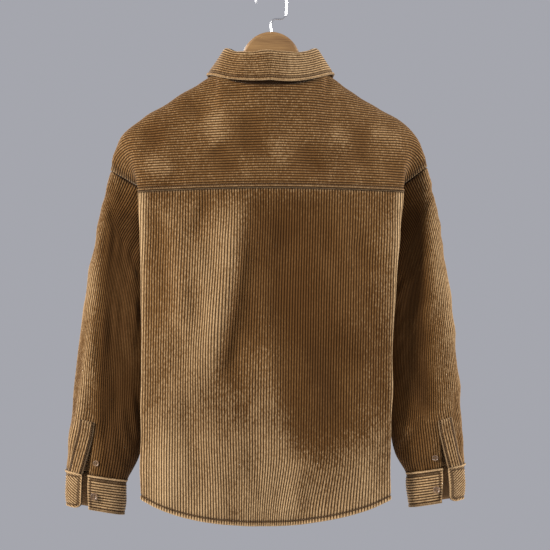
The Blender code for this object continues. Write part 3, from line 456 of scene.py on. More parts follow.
    def _back_chart(self) -> Chart:
        """The back over the distance from the centre line (left negative) and the height.

        Returns:
            The surface.
        """
        us = np.linspace(-0.300, 0.300, 401)
        vs = np.linspace(self.levels[-1].z, self.levels[0].z, 59)
        points = np.empty((len(us), len(vs), 3))
        for j, z in enumerate(vs):
            level = self.level_at(z)
            seam = (float(level.seam_x), float(level.seam_y))
            half = self.half_section(level.back_y, level.fold_x, level.fold_y, seam, 0.13)
            flat = along(half, np.abs(us))
            x = np.sign(us) * flat[:, 0]
            y = flat[:, 1] - self.fold_relief(x, z)
            points[:, j] = np.column_stack([x + level.shift, y, np.full(len(us), z)])
        low, high = points[:, 0].copy(), points[:, int(np.argmin(np.abs(vs - self.underarm_z)))].copy()
        near = (np.abs(us) - self.side_from) / (self.back_half - self.side_from)
        near = np.clip(near, 0, 1)[:, None]
        for j, z in enumerate(vs):
            share = (z - vs[0]) / (self.underarm_z - vs[0])
            if share < 1:
                points[:, j] += (low + (high - low) * share - points[:, j]) * near
        return Chart(us, vs, points, 1)

    def _front_chart(self, side: Side) -> Chart:
        """One front over the share of the way from its free edge to its side edge, and the height.

        Args:
            side: Which side of the garment.

        Returns:
            The surface.
        """
        us = np.linspace(0, 1, 241)
        vs = np.linspace(self.levels[-1].z, self.chest_z + 0.01, 58)
        points = np.empty((len(us), len(vs), 3))
        for j, z in enumerate(vs):
            level = self.level_at(z)
            low = self.back.at(self.back_half * side, min(z, self.underarm_z))[:2]
            low = np.array([(low[0] - self.level_at(min(z, self.underarm_z)).shift) * side, low[1]])
            rise = float(np.clip((z - self.underarm_z) / (self.chest_z - self.underarm_z), 0, 1))
            seam = low + (np.array(self.front_top_seam) - low) * rise
            whole = self.half_section(level.front_y, level.front_x, level.front_fold_y, seam, 0.001,
                                      self.front_thick)
            path = np.vstack([[-self.overlap, whole[0, 1]], whole[:-1], seam])
            run = lengths(path)
            flat = along(path, np.interp(us, [0, self.front_fold, 1], [0, run[self.fold_point], run[-1]]))
            y = flat[:, 1] - self.lap(side, flat[:, 0])
            points[:, j] = np.column_stack([flat[:, 0] * side + level.shift, y, np.full(len(us), z)])
        return Chart(us, vs, points, -side)
    def lap(self, side: Side, x: Array | float) -> Array:
        """How far a front is moved in depth near the centre, where one lies over the other."""
        return side * self.front_step * np.clip(1 - (x - 0.02) / 0.03, 0, 1)
    def _ridge(self, side: Side) -> tuple[Array, float]:
        """The shoulder line as a dense path, and how far along it the tip of the hanger is.

        Args:
            side: Which side of the garment.

        Returns:
            The path and the tip's share of its length.
        """
        table = self.ridge_left if side == Side.LEFT else self.ridge_right
        points = np.array([(x * side, 0, z) for x, z in table])
        keys = lengths(points)
        return spline(keys, points, np.linspace(0, keys[-1], 120)), keys[self.tip_point] / keys[-1]

    def front_share(self, station: Array | float) -> Array:
        """The share across a front that lies under a station of the shoulder."""
        return np.interp(station, [0, self.fold_station, self.yoke_half],
                         [self.overlap / self.front_width, self.front_fold, self.front_armhole])

    def armhole_fall(self, share: Array) -> Array:
        """How far down an armhole's lower half is, from 0 to 1, over the share of its way."""
        power = self.armhole_power
        return (1 - (1 - np.clip(share, 0, 1)) ** power) ** (1 / power)

    def armhole_z(self, distance: Array) -> Array:
        """Height of the back's armhole edge at a distance from the centre line."""
        share = (np.abs(distance) - self.yoke_half) / (self.back_half - self.yoke_half)
        return self.chest_z + (self.underarm_z - self.chest_z) * self.armhole_fall(share)

    def front_armhole_z(self, share: Array) -> Array:
        """Height of a front's armhole edge at a share of its width."""
        fall = self.armhole_fall((share - self.front_armhole) / (1 - self.front_armhole))
        return self.chest_z + (self.underarm_z - self.chest_z) * fall

    def yoke_seam_z(self, distance: Array | float) -> Array:
        """Height of the back yoke seam, which arches up to the centre."""
        share = np.clip(np.abs(distance) / self.yoke_half, 0, 1) ** 1.6
        return self.yoke_seam_top_z + (self.chest_z - self.yoke_seam_top_z) * share

    def hem_z(self, distance: Array) -> Array:
        """Height of the curved shirt-tail hem at a distance from the centre line.

        Args:
            distance: Distance from the centre line.

        Returns:
            The heights.
        """
        x = np.clip(np.abs(distance) / self.fold_station, 0, 1) ** 2.6
        side = np.clip((np.abs(distance) - self.fold_station) / (self.back_half - self.fold_station), 0, 1)
        centre = self.hem_centre_z + (self.hem_fold_z - self.hem_centre_z) * x
        return centre + (self.hem_side_z - self.hem_fold_z) * np.sin(side * math.pi / 2)
    def front_hem_z(self, share: Array) -> Array:
        """Height of a front's hem at a share of its width."""
        return self.hem_z(share * self.back_half) + self.hem_front_rise

    def back_top_z(self, distance: Array) -> Array:
        """Height of the back's upper edge: the yoke seam, and the armholes beside it."""
        beside = np.abs(distance) > self.yoke_half
        return np.where(beside, self.armhole_z(distance), self.yoke_seam_z(distance))
    def neck_behind(self, station: float, side: Side) -> Array:
        """The neck seam's back half, from the centre to the side."""
        t = float(np.clip(station / self.neck_half, 0, 1))
        z = self.neck_back_z + (self.neck_side_z - self.neck_back_z) * t**3
        return np.array([station * side, self.neck_back_y * math.sqrt(max(1 - t * t, 0)), z])

    def top_point(self, station: float, side: Side) -> Array:
        """Where a station's line over the shoulder starts: on the neck seam or on the shoulder line.

        Args:
            station: Distance from the centre line.
            side: Which side of the garment.

        Returns:
            The point.
        """
        if station < self.neck_half:
            return self.neck_behind(station, side)
        path, tip = self.ridges[side]
        share = np.interp(station, [self.neck_half, self.fold_station, self.yoke_half], [0, tip, 1])
        return along(path, share * lengths(path)[-1])

    def _line(self, station: float, side: Side, half: Half) -> Array:
        """A station's line from the shoulder down to the chest.

        Args:
            station: Distance from the centre line.
            side: Which side of the body.
            half: Down the back or down the front.

        Returns:
            The line as a dense path.
        """
        front = half is Half.FRONT
        top = self.top_point(station, side)
        if front:
            chest = self.fronts[side].at(self.front_share(station), self.chest_z)
        else:
            chest = self.back.at(station * side, self.yoke_seam_z(station))
        turn = self.turn
        share = min(station / self.neck_half, 1) ** 3
        power = self.neck_power + (self.shoulder_power - self.neck_power) * share
        path = top + (chest - top) * np.column_stack([turn**power, turn, turn**power])
        near = ease((station - 0.200) / (self.yoke_half - 0.200))
        path[:, 1] += (1 if front else -1) * self.cap_round * near * 4 * turn * (1 - turn) ** 1.4
        if front:
            tuck = self.neck_tuck * max(1 - (station - self.neck_half) / self.neck_tuck_reach, 0) ** 2
            path[:, 0] -= side * tuck * np.clip(turn / 0.42, 0, 1) * (1 - turn**2)
        return path

    def neck_ahead(self, share: float, side: Side) -> Array:
        """The neck seam's front: share 0 at the centre, 1 at the front yoke seam.

        Args:
            share: Share of the way, negative past the centre.
            side: Which side of the garment.

        Returns:
            The point.
        """
        end = along(self.line(self.neck_half, side, Half.FRONT), self.front_yoke_depth)
        centre = np.array(self.neck_front)
        first = centre + np.array([0.045 * side, 0, 0.0])
        second = end + np.array([-0.012 * side, 0.014, -0.018])
        t = abs(share)
        point = (1 - t) ** 3 * centre + 3 * t * (1 - t) ** 2 * first
        point = point + 3 * t * t * (1 - t) * second + t**3 * end
        return point * np.array([1 if share >= 0 else -1, 1, 1])

    def _half_neck(self, side: Side) -> tuple[Array, float]:
        """Half of the neck seam from the back's centre past the front's, and the front's place on it.

        Args:
            side: Which side of the garment.

        Returns:
            The path and the front's distance along it.
        """
        back = [self.neck_behind(s, side) for s in self.neck_half * np.sin(np.linspace(0, math.pi / 2, 40))]
        line = self.line(self.neck_half, side, Half.FRONT)
        over = along(line, np.linspace(0, self.front_yoke_depth, 14)[1:])
        front = [self.neck_ahead(s, side) for s in np.linspace(1, 0, 34)[1:]]
        past = [self.neck_ahead(s, side) for s in np.linspace(0, -0.2, 8)[1:]]
        path = np.vstack([back, over, front, past])
        return path, lengths(path)[-1 - len(past)]

    def front_line(self, side: Side, share: float) -> Array:
        """One line down a front from its top seam to the chest.

        Args:
            side: Which front.
            share: Share of the front's width, from its free edge.

        Returns:
            Twenty points of the line.
        """
        stations = [0, self.fold_station, self.yoke_half]
        station = float(np.interp(share, self.front_share(stations), stations))
        if share * self.front_width <= self.overlap:
            station = share * self.front_width - self.overlap
        chest = self.fronts[side].at(share, self.chest_z)
        down = np.linspace(0, 1, 20)
        if station < self.neck_half:
            line = self.line(self.neck_half, side, Half.FRONT)
            turn = float(np.interp(self.front_yoke_depth, lengths(line), self.turn))
            low = turn + (1 - turn) * down
            step = self.lap(side, station)
            first = self.neck_ahead(station / self.neck_half, side) - np.array([0, step, 0])
            power = self.shoulder_power
            reach = np.array([turn**power, turn, turn**power])
            apex = (first - chest * reach) / (1 - reach)
            return apex + (chest - apex) * np.column_stack([low**power, low, low**power])
        line = self.line(station, side, Half.FRONT)
        line = line + (chest - line[-1]) * self.turn[:, None] ** 2
        return along(line, np.linspace(self.front_yoke_depth, lengths(line)[-1], 20))

    def armhole_half(self, side: Side, half: Half) -> Array:
        """Half of an armhole seam from the shoulder's end to the underarm, as a dense path.

        Args:
            side: Which side of the garment.
            half: The back's or the front's.

        Returns:
            The path.
        """
        upper = self.line(self.yoke_half, side, half)
        spread = np.linspace(0, 1, 30)[1:] ** 1.8
        if half is Half.FRONT:
            upper = along(upper, np.linspace(0, lengths(upper)[-1], 60))
            share = self.front_armhole + (1 - self.front_armhole) * spread
            return np.vstack([upper, self.fronts[side].at(share, self.front_armhole_z(share))])
        reach = self.yoke_half + (self.back_half - self.yoke_half) * spread
        return np.vstack([upper, self.back.at(reach * side, self.armhole_z(reach))])


@dataclass(frozen=True)
class Ring:
    """One ring of a sleeve: outer and inner point as (x, z), the middle's depth and its reach."""

    outer: tuple[float, float]
    inner: tuple[float, float]
    middle: float
    back: float
    front: float


@dataclass
class Arm:
    """A hanging sleeve's surface over the offset from its outer line (back negative) and the ring number."""

    body: Body
    side: Side
    rings: tuple[Ring, ...]
    slit_ring: float = 7.0
    last: int = 8
    slit_offset: float = 0.062
    slit_turn: float = 0.016
    turn_ring: float = 6.45
    slit_gap: float = 0.009
    clear: float = 0.0024
    clear_from: float = 0.70
    power: float = 0.75
    notch_back: float = 0.232
    notch_front: float = 0.88

    def __post_init__(self) -> None:
        """Makes the surface from the armhole and the rings."""
        self.vs = np.linspace(0, self.last, 161)
        keys = np.arange(self.last + 1)
        halves = [spline(keys, self._half_rings(half), self.vs) for half in (Half.BACK, Half.FRONT)]
        self.lengths = [np.array([lengths(path)[-1] for path in half]) for half in halves]
        clear = self.clear * np.clip(self.vs / self.clear_from, 0, 1)[:, None]
        for half in halves:
            low, high = self._notch(half[..., 0] * self.side, half[..., 2])
            low, high = low + clear, high - clear
            middle = (low + high) / 2
            half[1:, :, 1] = np.clip(half[..., 1], np.minimum(low, middle), np.maximum(high, middle))[1:]
        back, front = halves
        loop = np.concatenate([back[:, ::-1], front[:, 1:]], axis=1)
        wrapped = np.concatenate([loop[:, -4:-1], loop, loop[:, 1:4]], axis=1)
        step = 2 / (loop.shape[1] - 1)
        us = np.linspace(-1 - 3 * step, 1 + 3 * step, wrapped.shape[1])
        self.chart = Chart(us, self.vs, wrapped.transpose(1, 0, 2), -self.side)

    def _half_rings(self, half: Half) -> Array:
        """Every ring's half, from the outer line to the underarm line, as evenly spaced points.

        Args:
            half: The back's or the front's.

        Returns:
            Points by ring and place.
        """
        share = np.linspace(0, 1, 81)
        first = self.body.armhole_half(self.side, half)
        rings = [along(first, share * lengths(first)[-1])]
        angle = np.linspace(0, math.pi, 81)
        for ring in self.rings:
            outer = np.array([ring.outer[0] * self.side, ring.middle, ring.outer[1]])
            inner = np.array([ring.inner[0] * self.side, ring.middle, ring.inner[1]])
            reach = ring.front if half is Half.FRONT else -ring.back
            path = (outer + inner) / 2 + np.outer(np.cos(angle), (outer - inner) / 2)
            path[:, 1] += reach * np.sin(angle) ** self.power
            rings.append(along(path, share * lengths(path)[-1]))
        return np.array(rings)

    def _notch(self, x: Array, z: Array) -> tuple[Array, Array]:
        """Lowest and highest depth that is free between the back's and the front's run to the side seam.

        Args:
            x: Places across the garment.
            z: Heights.

        Returns:
            The lowest and the highest depth.
        """
        body = self.body
        level = np.minimum(z, body.chest_z)
        spans = ((body.back, self.notch_back * self.side, body.back_half * self.side),
                 (body.fronts[self.side], self.notch_front, 1.0))
        ends = []
        for chart, first, last in spans:
            near, far = chart.at(first, level), chart.at(last, level)
            slope = (far[..., 1] - near[..., 1]) / (far[..., 0] - near[..., 0])
            ends.append(near[..., 1] + (x * self.side - near[..., 0]) * slope)
        free = (z > body.chest_z) | (x > body.level_at(z).fold_x + 0.004)
        return np.where(free, -1.0, ends[0]), np.where(free, 1.0, ends[1])

    def reach(self, v: Array | float) -> tuple[Array, Array]:
        """Length of the back and the front half at a ring."""
        return tuple(np.interp(v, self.vs, values) for values in self.lengths)

    def at(self, offset: Array, v: Array | float, out: Array | float = 0.0) -> Array:
        """Points at an offset, which stops at the underarm seam."""
        back, front = self.reach(v)
        share = np.clip(np.where(offset < 0, offset / back, offset / front), -1, 1)
        return self.chart.at(share, v, out)

    def down_from(self, ring: float, v: Array | float) -> Array:
        """Share of the way from a ring down to the cuff."""
        return np.clip((np.asarray(v, float) - ring) / (self.last - ring), 0, 1)

    def slit(self, v: Array | float) -> Array:
        """Offset of the slit's line at a ring, which leans out from above the slit down to the cuff."""
        return -self.slit_offset + self.slit_turn * self.down_from(self.turn_ring, v)

    def gap(self, v: Array | float) -> Array:
        """Width of the open slit at a ring."""
        return self.slit_gap * self.down_from(self.slit_ring, v)


class Value:
    """A socket in a material, whose arithmetic adds Math nodes."""

    def __init__(self, graph: "Graph", socket: bpy.types.NodeSocket) -> None:
        """Keeps the socket and the graph it belongs to."""
        self.graph = graph
        self.socket = socket

    def _maths(self, operation: str, *terms: "Value | float", clamp: bool = False) -> "Value":
        """One Math node on the terms."""
        settings = {"operation": operation, "use_clamp": clamp}
        return self.graph.node("ShaderNodeMath", settings, dict(enumerate(terms)))

    def __add__(self, other: "Value | float") -> "Value":
        """Sum."""
        return self._maths("ADD", self, other)

    def __radd__(self, other: float) -> "Value":
        """Sum, from the right."""
        return self._maths("ADD", other, self)

    def __sub__(self, other: "Value | float") -> "Value":
        """Difference."""
        return self._maths("SUBTRACT", self, other)

    def __rsub__(self, other: float) -> "Value":
        """Difference, from the right."""
        return self._maths("SUBTRACT", other, self)

    def __mul__(self, other: "Value | float") -> "Value":
        """Product."""
        return self._maths("MULTIPLY", self, other)

    def __pow__(self, power: float) -> "Value":
        """Power."""
        return self._maths("POWER", self, power)

    def clamped(self) -> "Value":
        """The value kept between 0 and 1."""
        return self._maths("ADD", self, 0.0, clamp=True)


class Graph:
    """The nodes of one material, round its Principled shader."""

    def __init__(self, name: str) -> None:
        """Starts a material with an empty Principled shader.

        Args:
            name: The material's name.
        """
        self.material = bpy.data.materials.new(name)
        self.material.use_nodes = True
        self.tree = self.material.node_tree
        self.shader = self.tree.nodes["Principled BSDF"]

    def feed(self, socket: bpy.types.NodeSocket, value: "Value | float | tuple") -> None:
        """Links a value into a socket, or sets the socket to it.

        Args:
            socket: The socket.
            value: A link, or a fixed number or colour.
        """
        if isinstance(value, Value):
            self.tree.links.new(value.socket, socket)
        elif socket.type == "RGBA" and len(value) == 3:
            socket.default_value = (*value, 1)
        else:
            socket.default_value = value

    def node(self, kind: str, settings: dict, inputs: dict, output: int | str = 0) -> Value:
        """Adds a node.

        Args:
            kind: The node's type.
            settings: Its settings, set first; "stops" are a ramp's (place, colour) pairs.
            inputs: Values or links of its sockets, by name or number.
            output: The socket that is read from it.

        Returns:
            The output as a value.
        """
        node = self.tree.nodes.new(kind)
        for key, value in settings.items():
            if key == "stops":
                while len(node.color_ramp.elements) < len(value):
                    node.color_ramp.elements.new(1.0)
                for element, (place, colour) in zip(node.color_ramp.elements, value):
                    element.position = place
                    element.color = (*colour, 1)
            else:
                setattr(node, key, value)
        for key, value in inputs.items():
            self.feed(node.inputs[key], value)
        return Value(self, node.outputs[output])

    def mix(self, factor: Value | float, first: Value | Colour, second: Value | Colour,
            blend: str = "MIX") -> Value:
        """Mixes two colours."""
        settings = {"data_type": "RGBA", "blend_type": blend}
        return self.node("ShaderNodeMix", settings, {0: factor, 6: first, 7: second}, 2)

    def attribute(self, name: str) -> Value:
        """A number kept on the mesh."""
        return self.node("ShaderNodeAttribute", {"attribute_name": name}, {}, "Fac")

    def noise(self, scale: float, detail: float = 2.0, stretch: Colour = (1, 1, 1)) -> Value:
        """Noise over the garment's own coordinates, stretched along an axis by small factors.

        Args:
            scale: How fine it is.
            detail: Its octaves.
            stretch: Factors of the three axes.

        Returns:
            The noise.
        """
        place = self.node("ShaderNodeTexCoord", {}, {}, "Object")
        if stretch != (1, 1, 1):
            place = self.node("ShaderNodeVectorMath", {"operation": "MULTIPLY"}, {0: place, 1: stretch})
        return self.node("ShaderNodeTexNoise", {}, {"Vector": place, "Scale": scale, "Detail": detail})

    def finish(self, colour: Value | Colour, roughness: Value | float, **constants: float | Colour) -> None:
        """Feeds the shader; constants are set on its own sockets, with _ for a space.

        Args:
            colour: The base colour.
            roughness: The roughness.
            constants: What the other sockets are set to.
        """
        self.feed(self.shader.inputs["Base Color"], colour)
        self.feed(self.shader.inputs["Roughness"], roughness)
        for name, value in constants.items():
            self.feed(self.shader.inputs[name.replace("_", " ")], value)

    def bump(self, height: Value, strength: float, distance: float) -> None:
        """Feeds the shader's normal with a bump."""
        inputs = {"Strength": strength, "Distance": distance, "Height": height}
        self.feed(self.shader.inputs["Normal"], self.node("ShaderNodeBump", {}, inputs))


@dataclass(frozen=True)
class Corduroy:
    """Washed cotton corduroy: napped wales, painted shade in the valleys between them, paler worn edges, and
    painted shade and light on the creases.
    """

    # The nap's light tone; its dark tone, which is also the painted shade of troughs; the grooves' dark,
    # which is painted shade between the wales; a pale tone for rubbed edges and for painted light on ridges;
    # and the shader's sheen tint.
    crest: Colour = (0.300, 0.158, 0.054)
    deep: Colour = (0.128, 0.056, 0.013)
    valley: Colour = (0.024, 0.009, 0.002)
    worn_and_lit: Colour = (0.690, 0.465, 0.245)
    sheen: Colour = (1.0, 0.80, 0.58)

    def make(self) -> Material:
        """The cloth's outer face.

        Returns:
            The material.
        """
        graph = Graph("corduroy")
        wale, wear, fold = (graph.attribute(name) for name in ("wale", "wear", "fold"))
        cloud = graph.noise(7.0, 3.0)
        patch = graph.noise(42.0, 3.0, (1.0, 1.0, 0.55))
        speck = graph.noise(1300.0, 2.0)
        tuft = graph.noise(620.0, 2.0, (1.0, 1.0, 0.35))
        # Random tone of the nap, plus the creases' relief as painted shade in troughs and painted light on
        # ridges.
        nap_and_shade = ((cloud - 0.5) * 1.1 + (patch - 0.5) * 0.5 + (tuft - 0.5) * 1.2 + fold * 0.52 + 0.50).clamped()
        pile = graph.mix(nap_and_shade, self.deep, self.crest)
        # Paler where rubbed, plus the painted highlights carried with the wear and painted light on the
        # creases' ridges.
        rub_and_light = (wear * 0.9 + (tuft - 0.5) * 1.6 + (patch - 0.5) * 0.3 + fold * 0.60).clamped()
        pile = graph.mix(rub_and_light, pile, self.worn_and_lit)
        # Painted shade: the deepest troughs pulled halfway to the grooves' dark.
        painted_trough_shade = ((0.0 - fold - 0.72) * 2.2).clamped()
        pile = graph.mix(painted_trough_shade * 0.5, pile, self.valley)
        # By the wales' height, from the grooves' painted shade up to the pile's colour.
        height = (wale**3.6 * 1.20 + (speck - 0.5) * 0.5).clamped()
        colour = graph.mix(height, self.valley, pile)
        colour = graph.mix(0.55, colour, graph.node("ShaderNodeValToRGB", {
            "stops": ((0.30, (0.72, 0.70, 0.66)), (0.72, (1.0, 1.0, 1.0)))}, {0: speck}), "MULTIPLY")
        graph.finish(colour, 0.97 - nap_and_shade * 0.08, Sheen_Weight=0.22, Sheen_Roughness=0.45,
                     Sheen_Tint=self.sheen, Specular_IOR_Level=0.12)
        graph.bump(speck * 0.6 + tuft, 0.5, 0.0005)
        return graph.material


@dataclass(frozen=True)
class Weave:
    """The plain inner face of the cloth."""

    light: Colour = (0.300, 0.180, 0.085)
    dark: Colour = (0.190, 0.105, 0.045)

    def make(self) -> Material:
        """The inner face, with the fine twill of the ground cloth.

        Returns:
            The material.
        """
        graph = Graph("weave")
        place = graph.node("ShaderNodeTexCoord", {}, {}, "Object")
        twill = graph.node("ShaderNodeTexWave", {"bands_direction": "DIAGONAL"},
                           {"Vector": place, "Scale": 260.0, "Distortion": 1.5, "Detail": 2.0}, "Fac")
        cloud = graph.noise(14.0, 3.0)
        tone = graph.mix((twill * 0.5 + cloud * 0.5).clamped(), self.dark, self.light)
        graph.finish(tone, 0.92 + cloud * 0.05, Sheen_Weight=0.15, Sheen_Roughness=0.5,
                     Specular_IOR_Level=0.15)
        graph.bump(twill, 0.3, 0.0003)
        return graph.material


@dataclass(frozen=True)
class Thread:
    """Twisted sewing thread, a tone darker than the cloth."""

    light: Colour = (0.230, 0.128, 0.050)
    dark: Colour = (0.120, 0.062, 0.022)

    def make(self) -> Material:
        """The thread, with its twist as fine bands.

        Returns:
            The material.
        """
        graph = Graph("thread")
        fibre = graph.noise(2400.0, 2.0)
        patch = graph.noise(60.0, 2.0)
        tone = graph.mix((fibre * 0.6 + patch * 0.4).clamped(), self.dark, self.light)
        graph.finish(tone, 0.70 + fibre * 0.15, Sheen_Weight=0.2, Specular_IOR_Level=0.3)
        graph.bump(fibre, 0.4, 0.0002)
        return graph.material


@dataclass(frozen=True)
class Horn:
    """Brown horn-like buttons with clouded streaks and a soft polish."""

    light: Colour = (0.400, 0.250, 0.130)
    dark: Colour = (0.110, 0.055, 0.024)

    def make(self) -> Material:
        """The buttons' finish.

        Returns:
            The material.
        """
        graph = Graph("horn")
        streak = graph.noise(220.0, 4.0, (1.0, 1.0, 0.3))
        cloud = graph.noise(90.0, 2.0)
        blend = ((streak - 0.35) * 1.8 * (0.6 + cloud * 0.8)).clamped()
        graph.finish(graph.mix(blend, self.dark, self.light), 0.28 + cloud * 0.2, Coat_Weight=0.25,
                     Coat_Roughness=0.15)
        graph.bump(streak, 0.15, 0.0002)
        return graph.material


@dataclass(frozen=True)
class Wood:
    """Varnished ochre hardwood with grain along the arms."""

    light: Colour = (0.345, 0.195, 0.072)
    dark: Colour = (0.125, 0.056, 0.016)

    def make(self) -> Material:
        """The hanger's finish.

        Returns:
            The material.
        """
        graph = Graph("wood")
        broad = graph.noise(26.0, 3.0, (0.25, 1.0, 1.6))
        grain = graph.noise(520.0, 3.0, (0.06, 1.0, 1.0))
        blend = ((broad - 0.5) * 2.0 + (grain - 0.5) * 1.1 + 0.58).clamped()
        graph.finish(graph.mix(blend, self.dark, self.light), 0.38 + grain * 0.16, Coat_Weight=0.25,
                     Coat_Roughness=0.30)
        graph.bump(grain, 0.12, 0.0003)
        return graph.material


@dataclass(frozen=True)
class Steel:
    """Bright drawn wire."""

    bright: Colour = (0.78, 0.78, 0.79)
    dull: Colour = (0.56, 0.56, 0.58)

    def make(self) -> Material:
        """The hook's finish, with fine drawing marks.

        Returns:
            The material.
        """
        graph = Graph("steel")
        mark = graph.noise(900.0, 2.0, (1.0, 1.0, 0.15))
        graph.finish(graph.mix(mark, self.dull, self.bright), 0.16 + mark * 0.14, Metallic=1.0)
        graph.bump(mark, 0.08, 0.0001)
        return graph.material


@dataclass(frozen=True)
class Plaster:
    """The studio's pale floor."""

    tone: Colour = (0.62, 0.63, 0.66)

    def make(self) -> Material:
        """The floor's finish.

        Returns:
            The material.
        """
        graph = Graph("plaster")
        cloud = graph.noise(3.0, 2.0)
        darker = tuple(part * 0.95 for part in self.tone)
        graph.finish(graph.mix(cloud, darker, self.tone), 0.85)
        return graph.material


@dataclass(frozen=True)
class Finishes:
    """The materials of the whole part."""

    corduroy: Material
    weave: Material
    thread: Material
    horn: Material
    wood: Material
    steel: Material

    @classmethod
    def all(cls) -> "Finishes":
        """Makes every finish once."""
        return cls(*(kind().make() for kind in (Corduroy, Weave, Thread, Horn, Wood, Steel)))


@dataclass(frozen=True)
class Wales:
    """Places across the wales, with the height of the pile and whether a place is in a valley."""

    places: Array
    heights: Array
    valleys: Array

    @classmethod
    def between(cls, low: float, high: float, valley: float = 0.0) -> "Wales":
        """Places from one edge of a panel to the other, valley by valley.

        Args:
            low: Distance of the first edge.
            high: Distance of the last edge.
            valley: Distance of one of the valleys.

        Returns:
            The places, which start and end on the edges.
        """
        first, last = math.ceil((low - valley) / PITCH + 0.2), math.floor((high - valley) / PITCH - 0.2)
        inside = [(n + share, height) for n in range(first, last) for share, height in WALE_SHAPE]
        inside.append((last, 0))
        places = np.array([low, *(valley + PITCH * place for place, _ in inside), high])
        heights = np.array([EDGE_PILE, *(height for _, height in inside), EDGE_PILE])
        return cls(places, heights, np.concatenate([[True], heights[1:-1] == 0, [True]]))

    @property
    def chosen(self) -> Array:
        """The columns in the valleys, which the inner face shares."""
        return np.flatnonzero(self.valleys)


def piece(name: str, points: Array, faces: list, materials: list, smooth: Array | bool = True,
          which: Array | None = None, attributes: dict[str, Array] | None = None) -> bpy.types.Object:
    """Makes one mesh object that rides on the body.

    Args:
        name: The piece's name.
        points: Its vertices.
        faces: Its faces, as rows of vertex numbers.
        materials: Its materials.
        smooth: Whether each face is shaded smooth.
        which: The material number of each face.
        attributes: Numbers kept on its vertices.

    Returns:
        The object.
    """
    mesh = bpy.data.meshes.new(name)
    mesh.from_pydata(points.tolist(), [], faces)
    mesh.polygons.foreach_set("use_smooth", np.broadcast_to(smooth, len(faces)).astype(bool))
    if which is not None:
        mesh.polygons.foreach_set("material_index", which)
    for key, values in (attributes or {}).items():
        mesh.attributes.new(key, "FLOAT", "POINT").data.foreach_set("value", values.astype(np.float32))
    mesh.update()
    obj = bpy.data.objects.new(name, mesh)
    for material in materials:
        mesh.materials.append(material)
    bpy.context.scene.collection.objects.link(obj)
    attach(obj, "root")
    return obj


@dataclass(frozen=True)
class Cut:
    """The flat size that a panel was cut to, in metres and square metres."""

    width: float
    length: float
    area: float


def tube(first: int, rings: int, sides: int) -> list[tuple[int, ...]]:
    """Faces of a closed tube whose rings of vertices are numbered one after another from the first on.

    Args:
        first: Number of the first vertex.
        rings: How many rings there are.
        sides: How many vertices a ring has.

    Returns:
        The faces as tuples of vertex numbers.
    """
    faces = []
    for k in range(first, first + (rings - 1) * sides, sides):
        for n in range(sides):
            a, b = k + n, k + (n + 1) % sides
            faces.append((a, b, b + sides, a + sides))
    last = first + (rings - 1) * sides
    return [*faces, tuple(range(first, first + sides))[::-1], tuple(range(last, last + sides))]


@dataclass
class Seam:
    """Rows of stitches, joined in one mesh."""

    name: str
    long: float = 0.0025
    every: float = 0.0034
    thick: float = 0.00034
    sides: int = 5
    profile: tuple[tuple[float, float, float], ...] = (
        (-0.5, 0.35, -0.9), (-0.32, 1.0, 0.25), (0.32, 1.0, 0.25), (0.5, 0.35, -0.9),
    )
    paths: list = field(default_factory=list)

    def add(self, surface: Callable[[float], Array], share: float) -> None:
        """Adds a row of stitches on the path that a surface gives for a lift, here a share of the pile."""
        low, high = surface(PILE * share), surface(PILE * share + 0.001)
        self.paths.append((low, unit(high - low)))

    def build(self, finishes: Finishes) -> bpy.types.Object:
        """Makes every stitch as a short length of thread that dips into the cloth at its ends.

        Args:
            finishes: The part's materials.

        Returns:
            The object.
        """
        turns = np.linspace(0, 2 * math.pi, self.sides, endpoint=False)
        points, faces = [], []
        for path, normals in self.paths:
            run = lengths(path)
            middles = (np.arange(int(run[-1] / self.every)) + 0.5) * self.every
            ends = along(path, middles - self.long / 2), along(path, middles + self.long / 2)
            for start, end, out in zip(*ends, unit(between(middles, run, normals))):
                way = end - start
                beside = unit(np.cross(way, out))
                faces += tube(len(points), len(self.profile), self.sides)
                for place, girth, lift in self.profile:
                    centre = (start + end) / 2 + way * place + out * lift * self.thick
                    for turn in turns:
                        ring = beside * math.cos(turn) + out * math.sin(turn)
                        points.append(centre + ring * girth * self.thick)
        obj = piece(self.name, np.array(points), faces, [finishes.thread])
        return obj


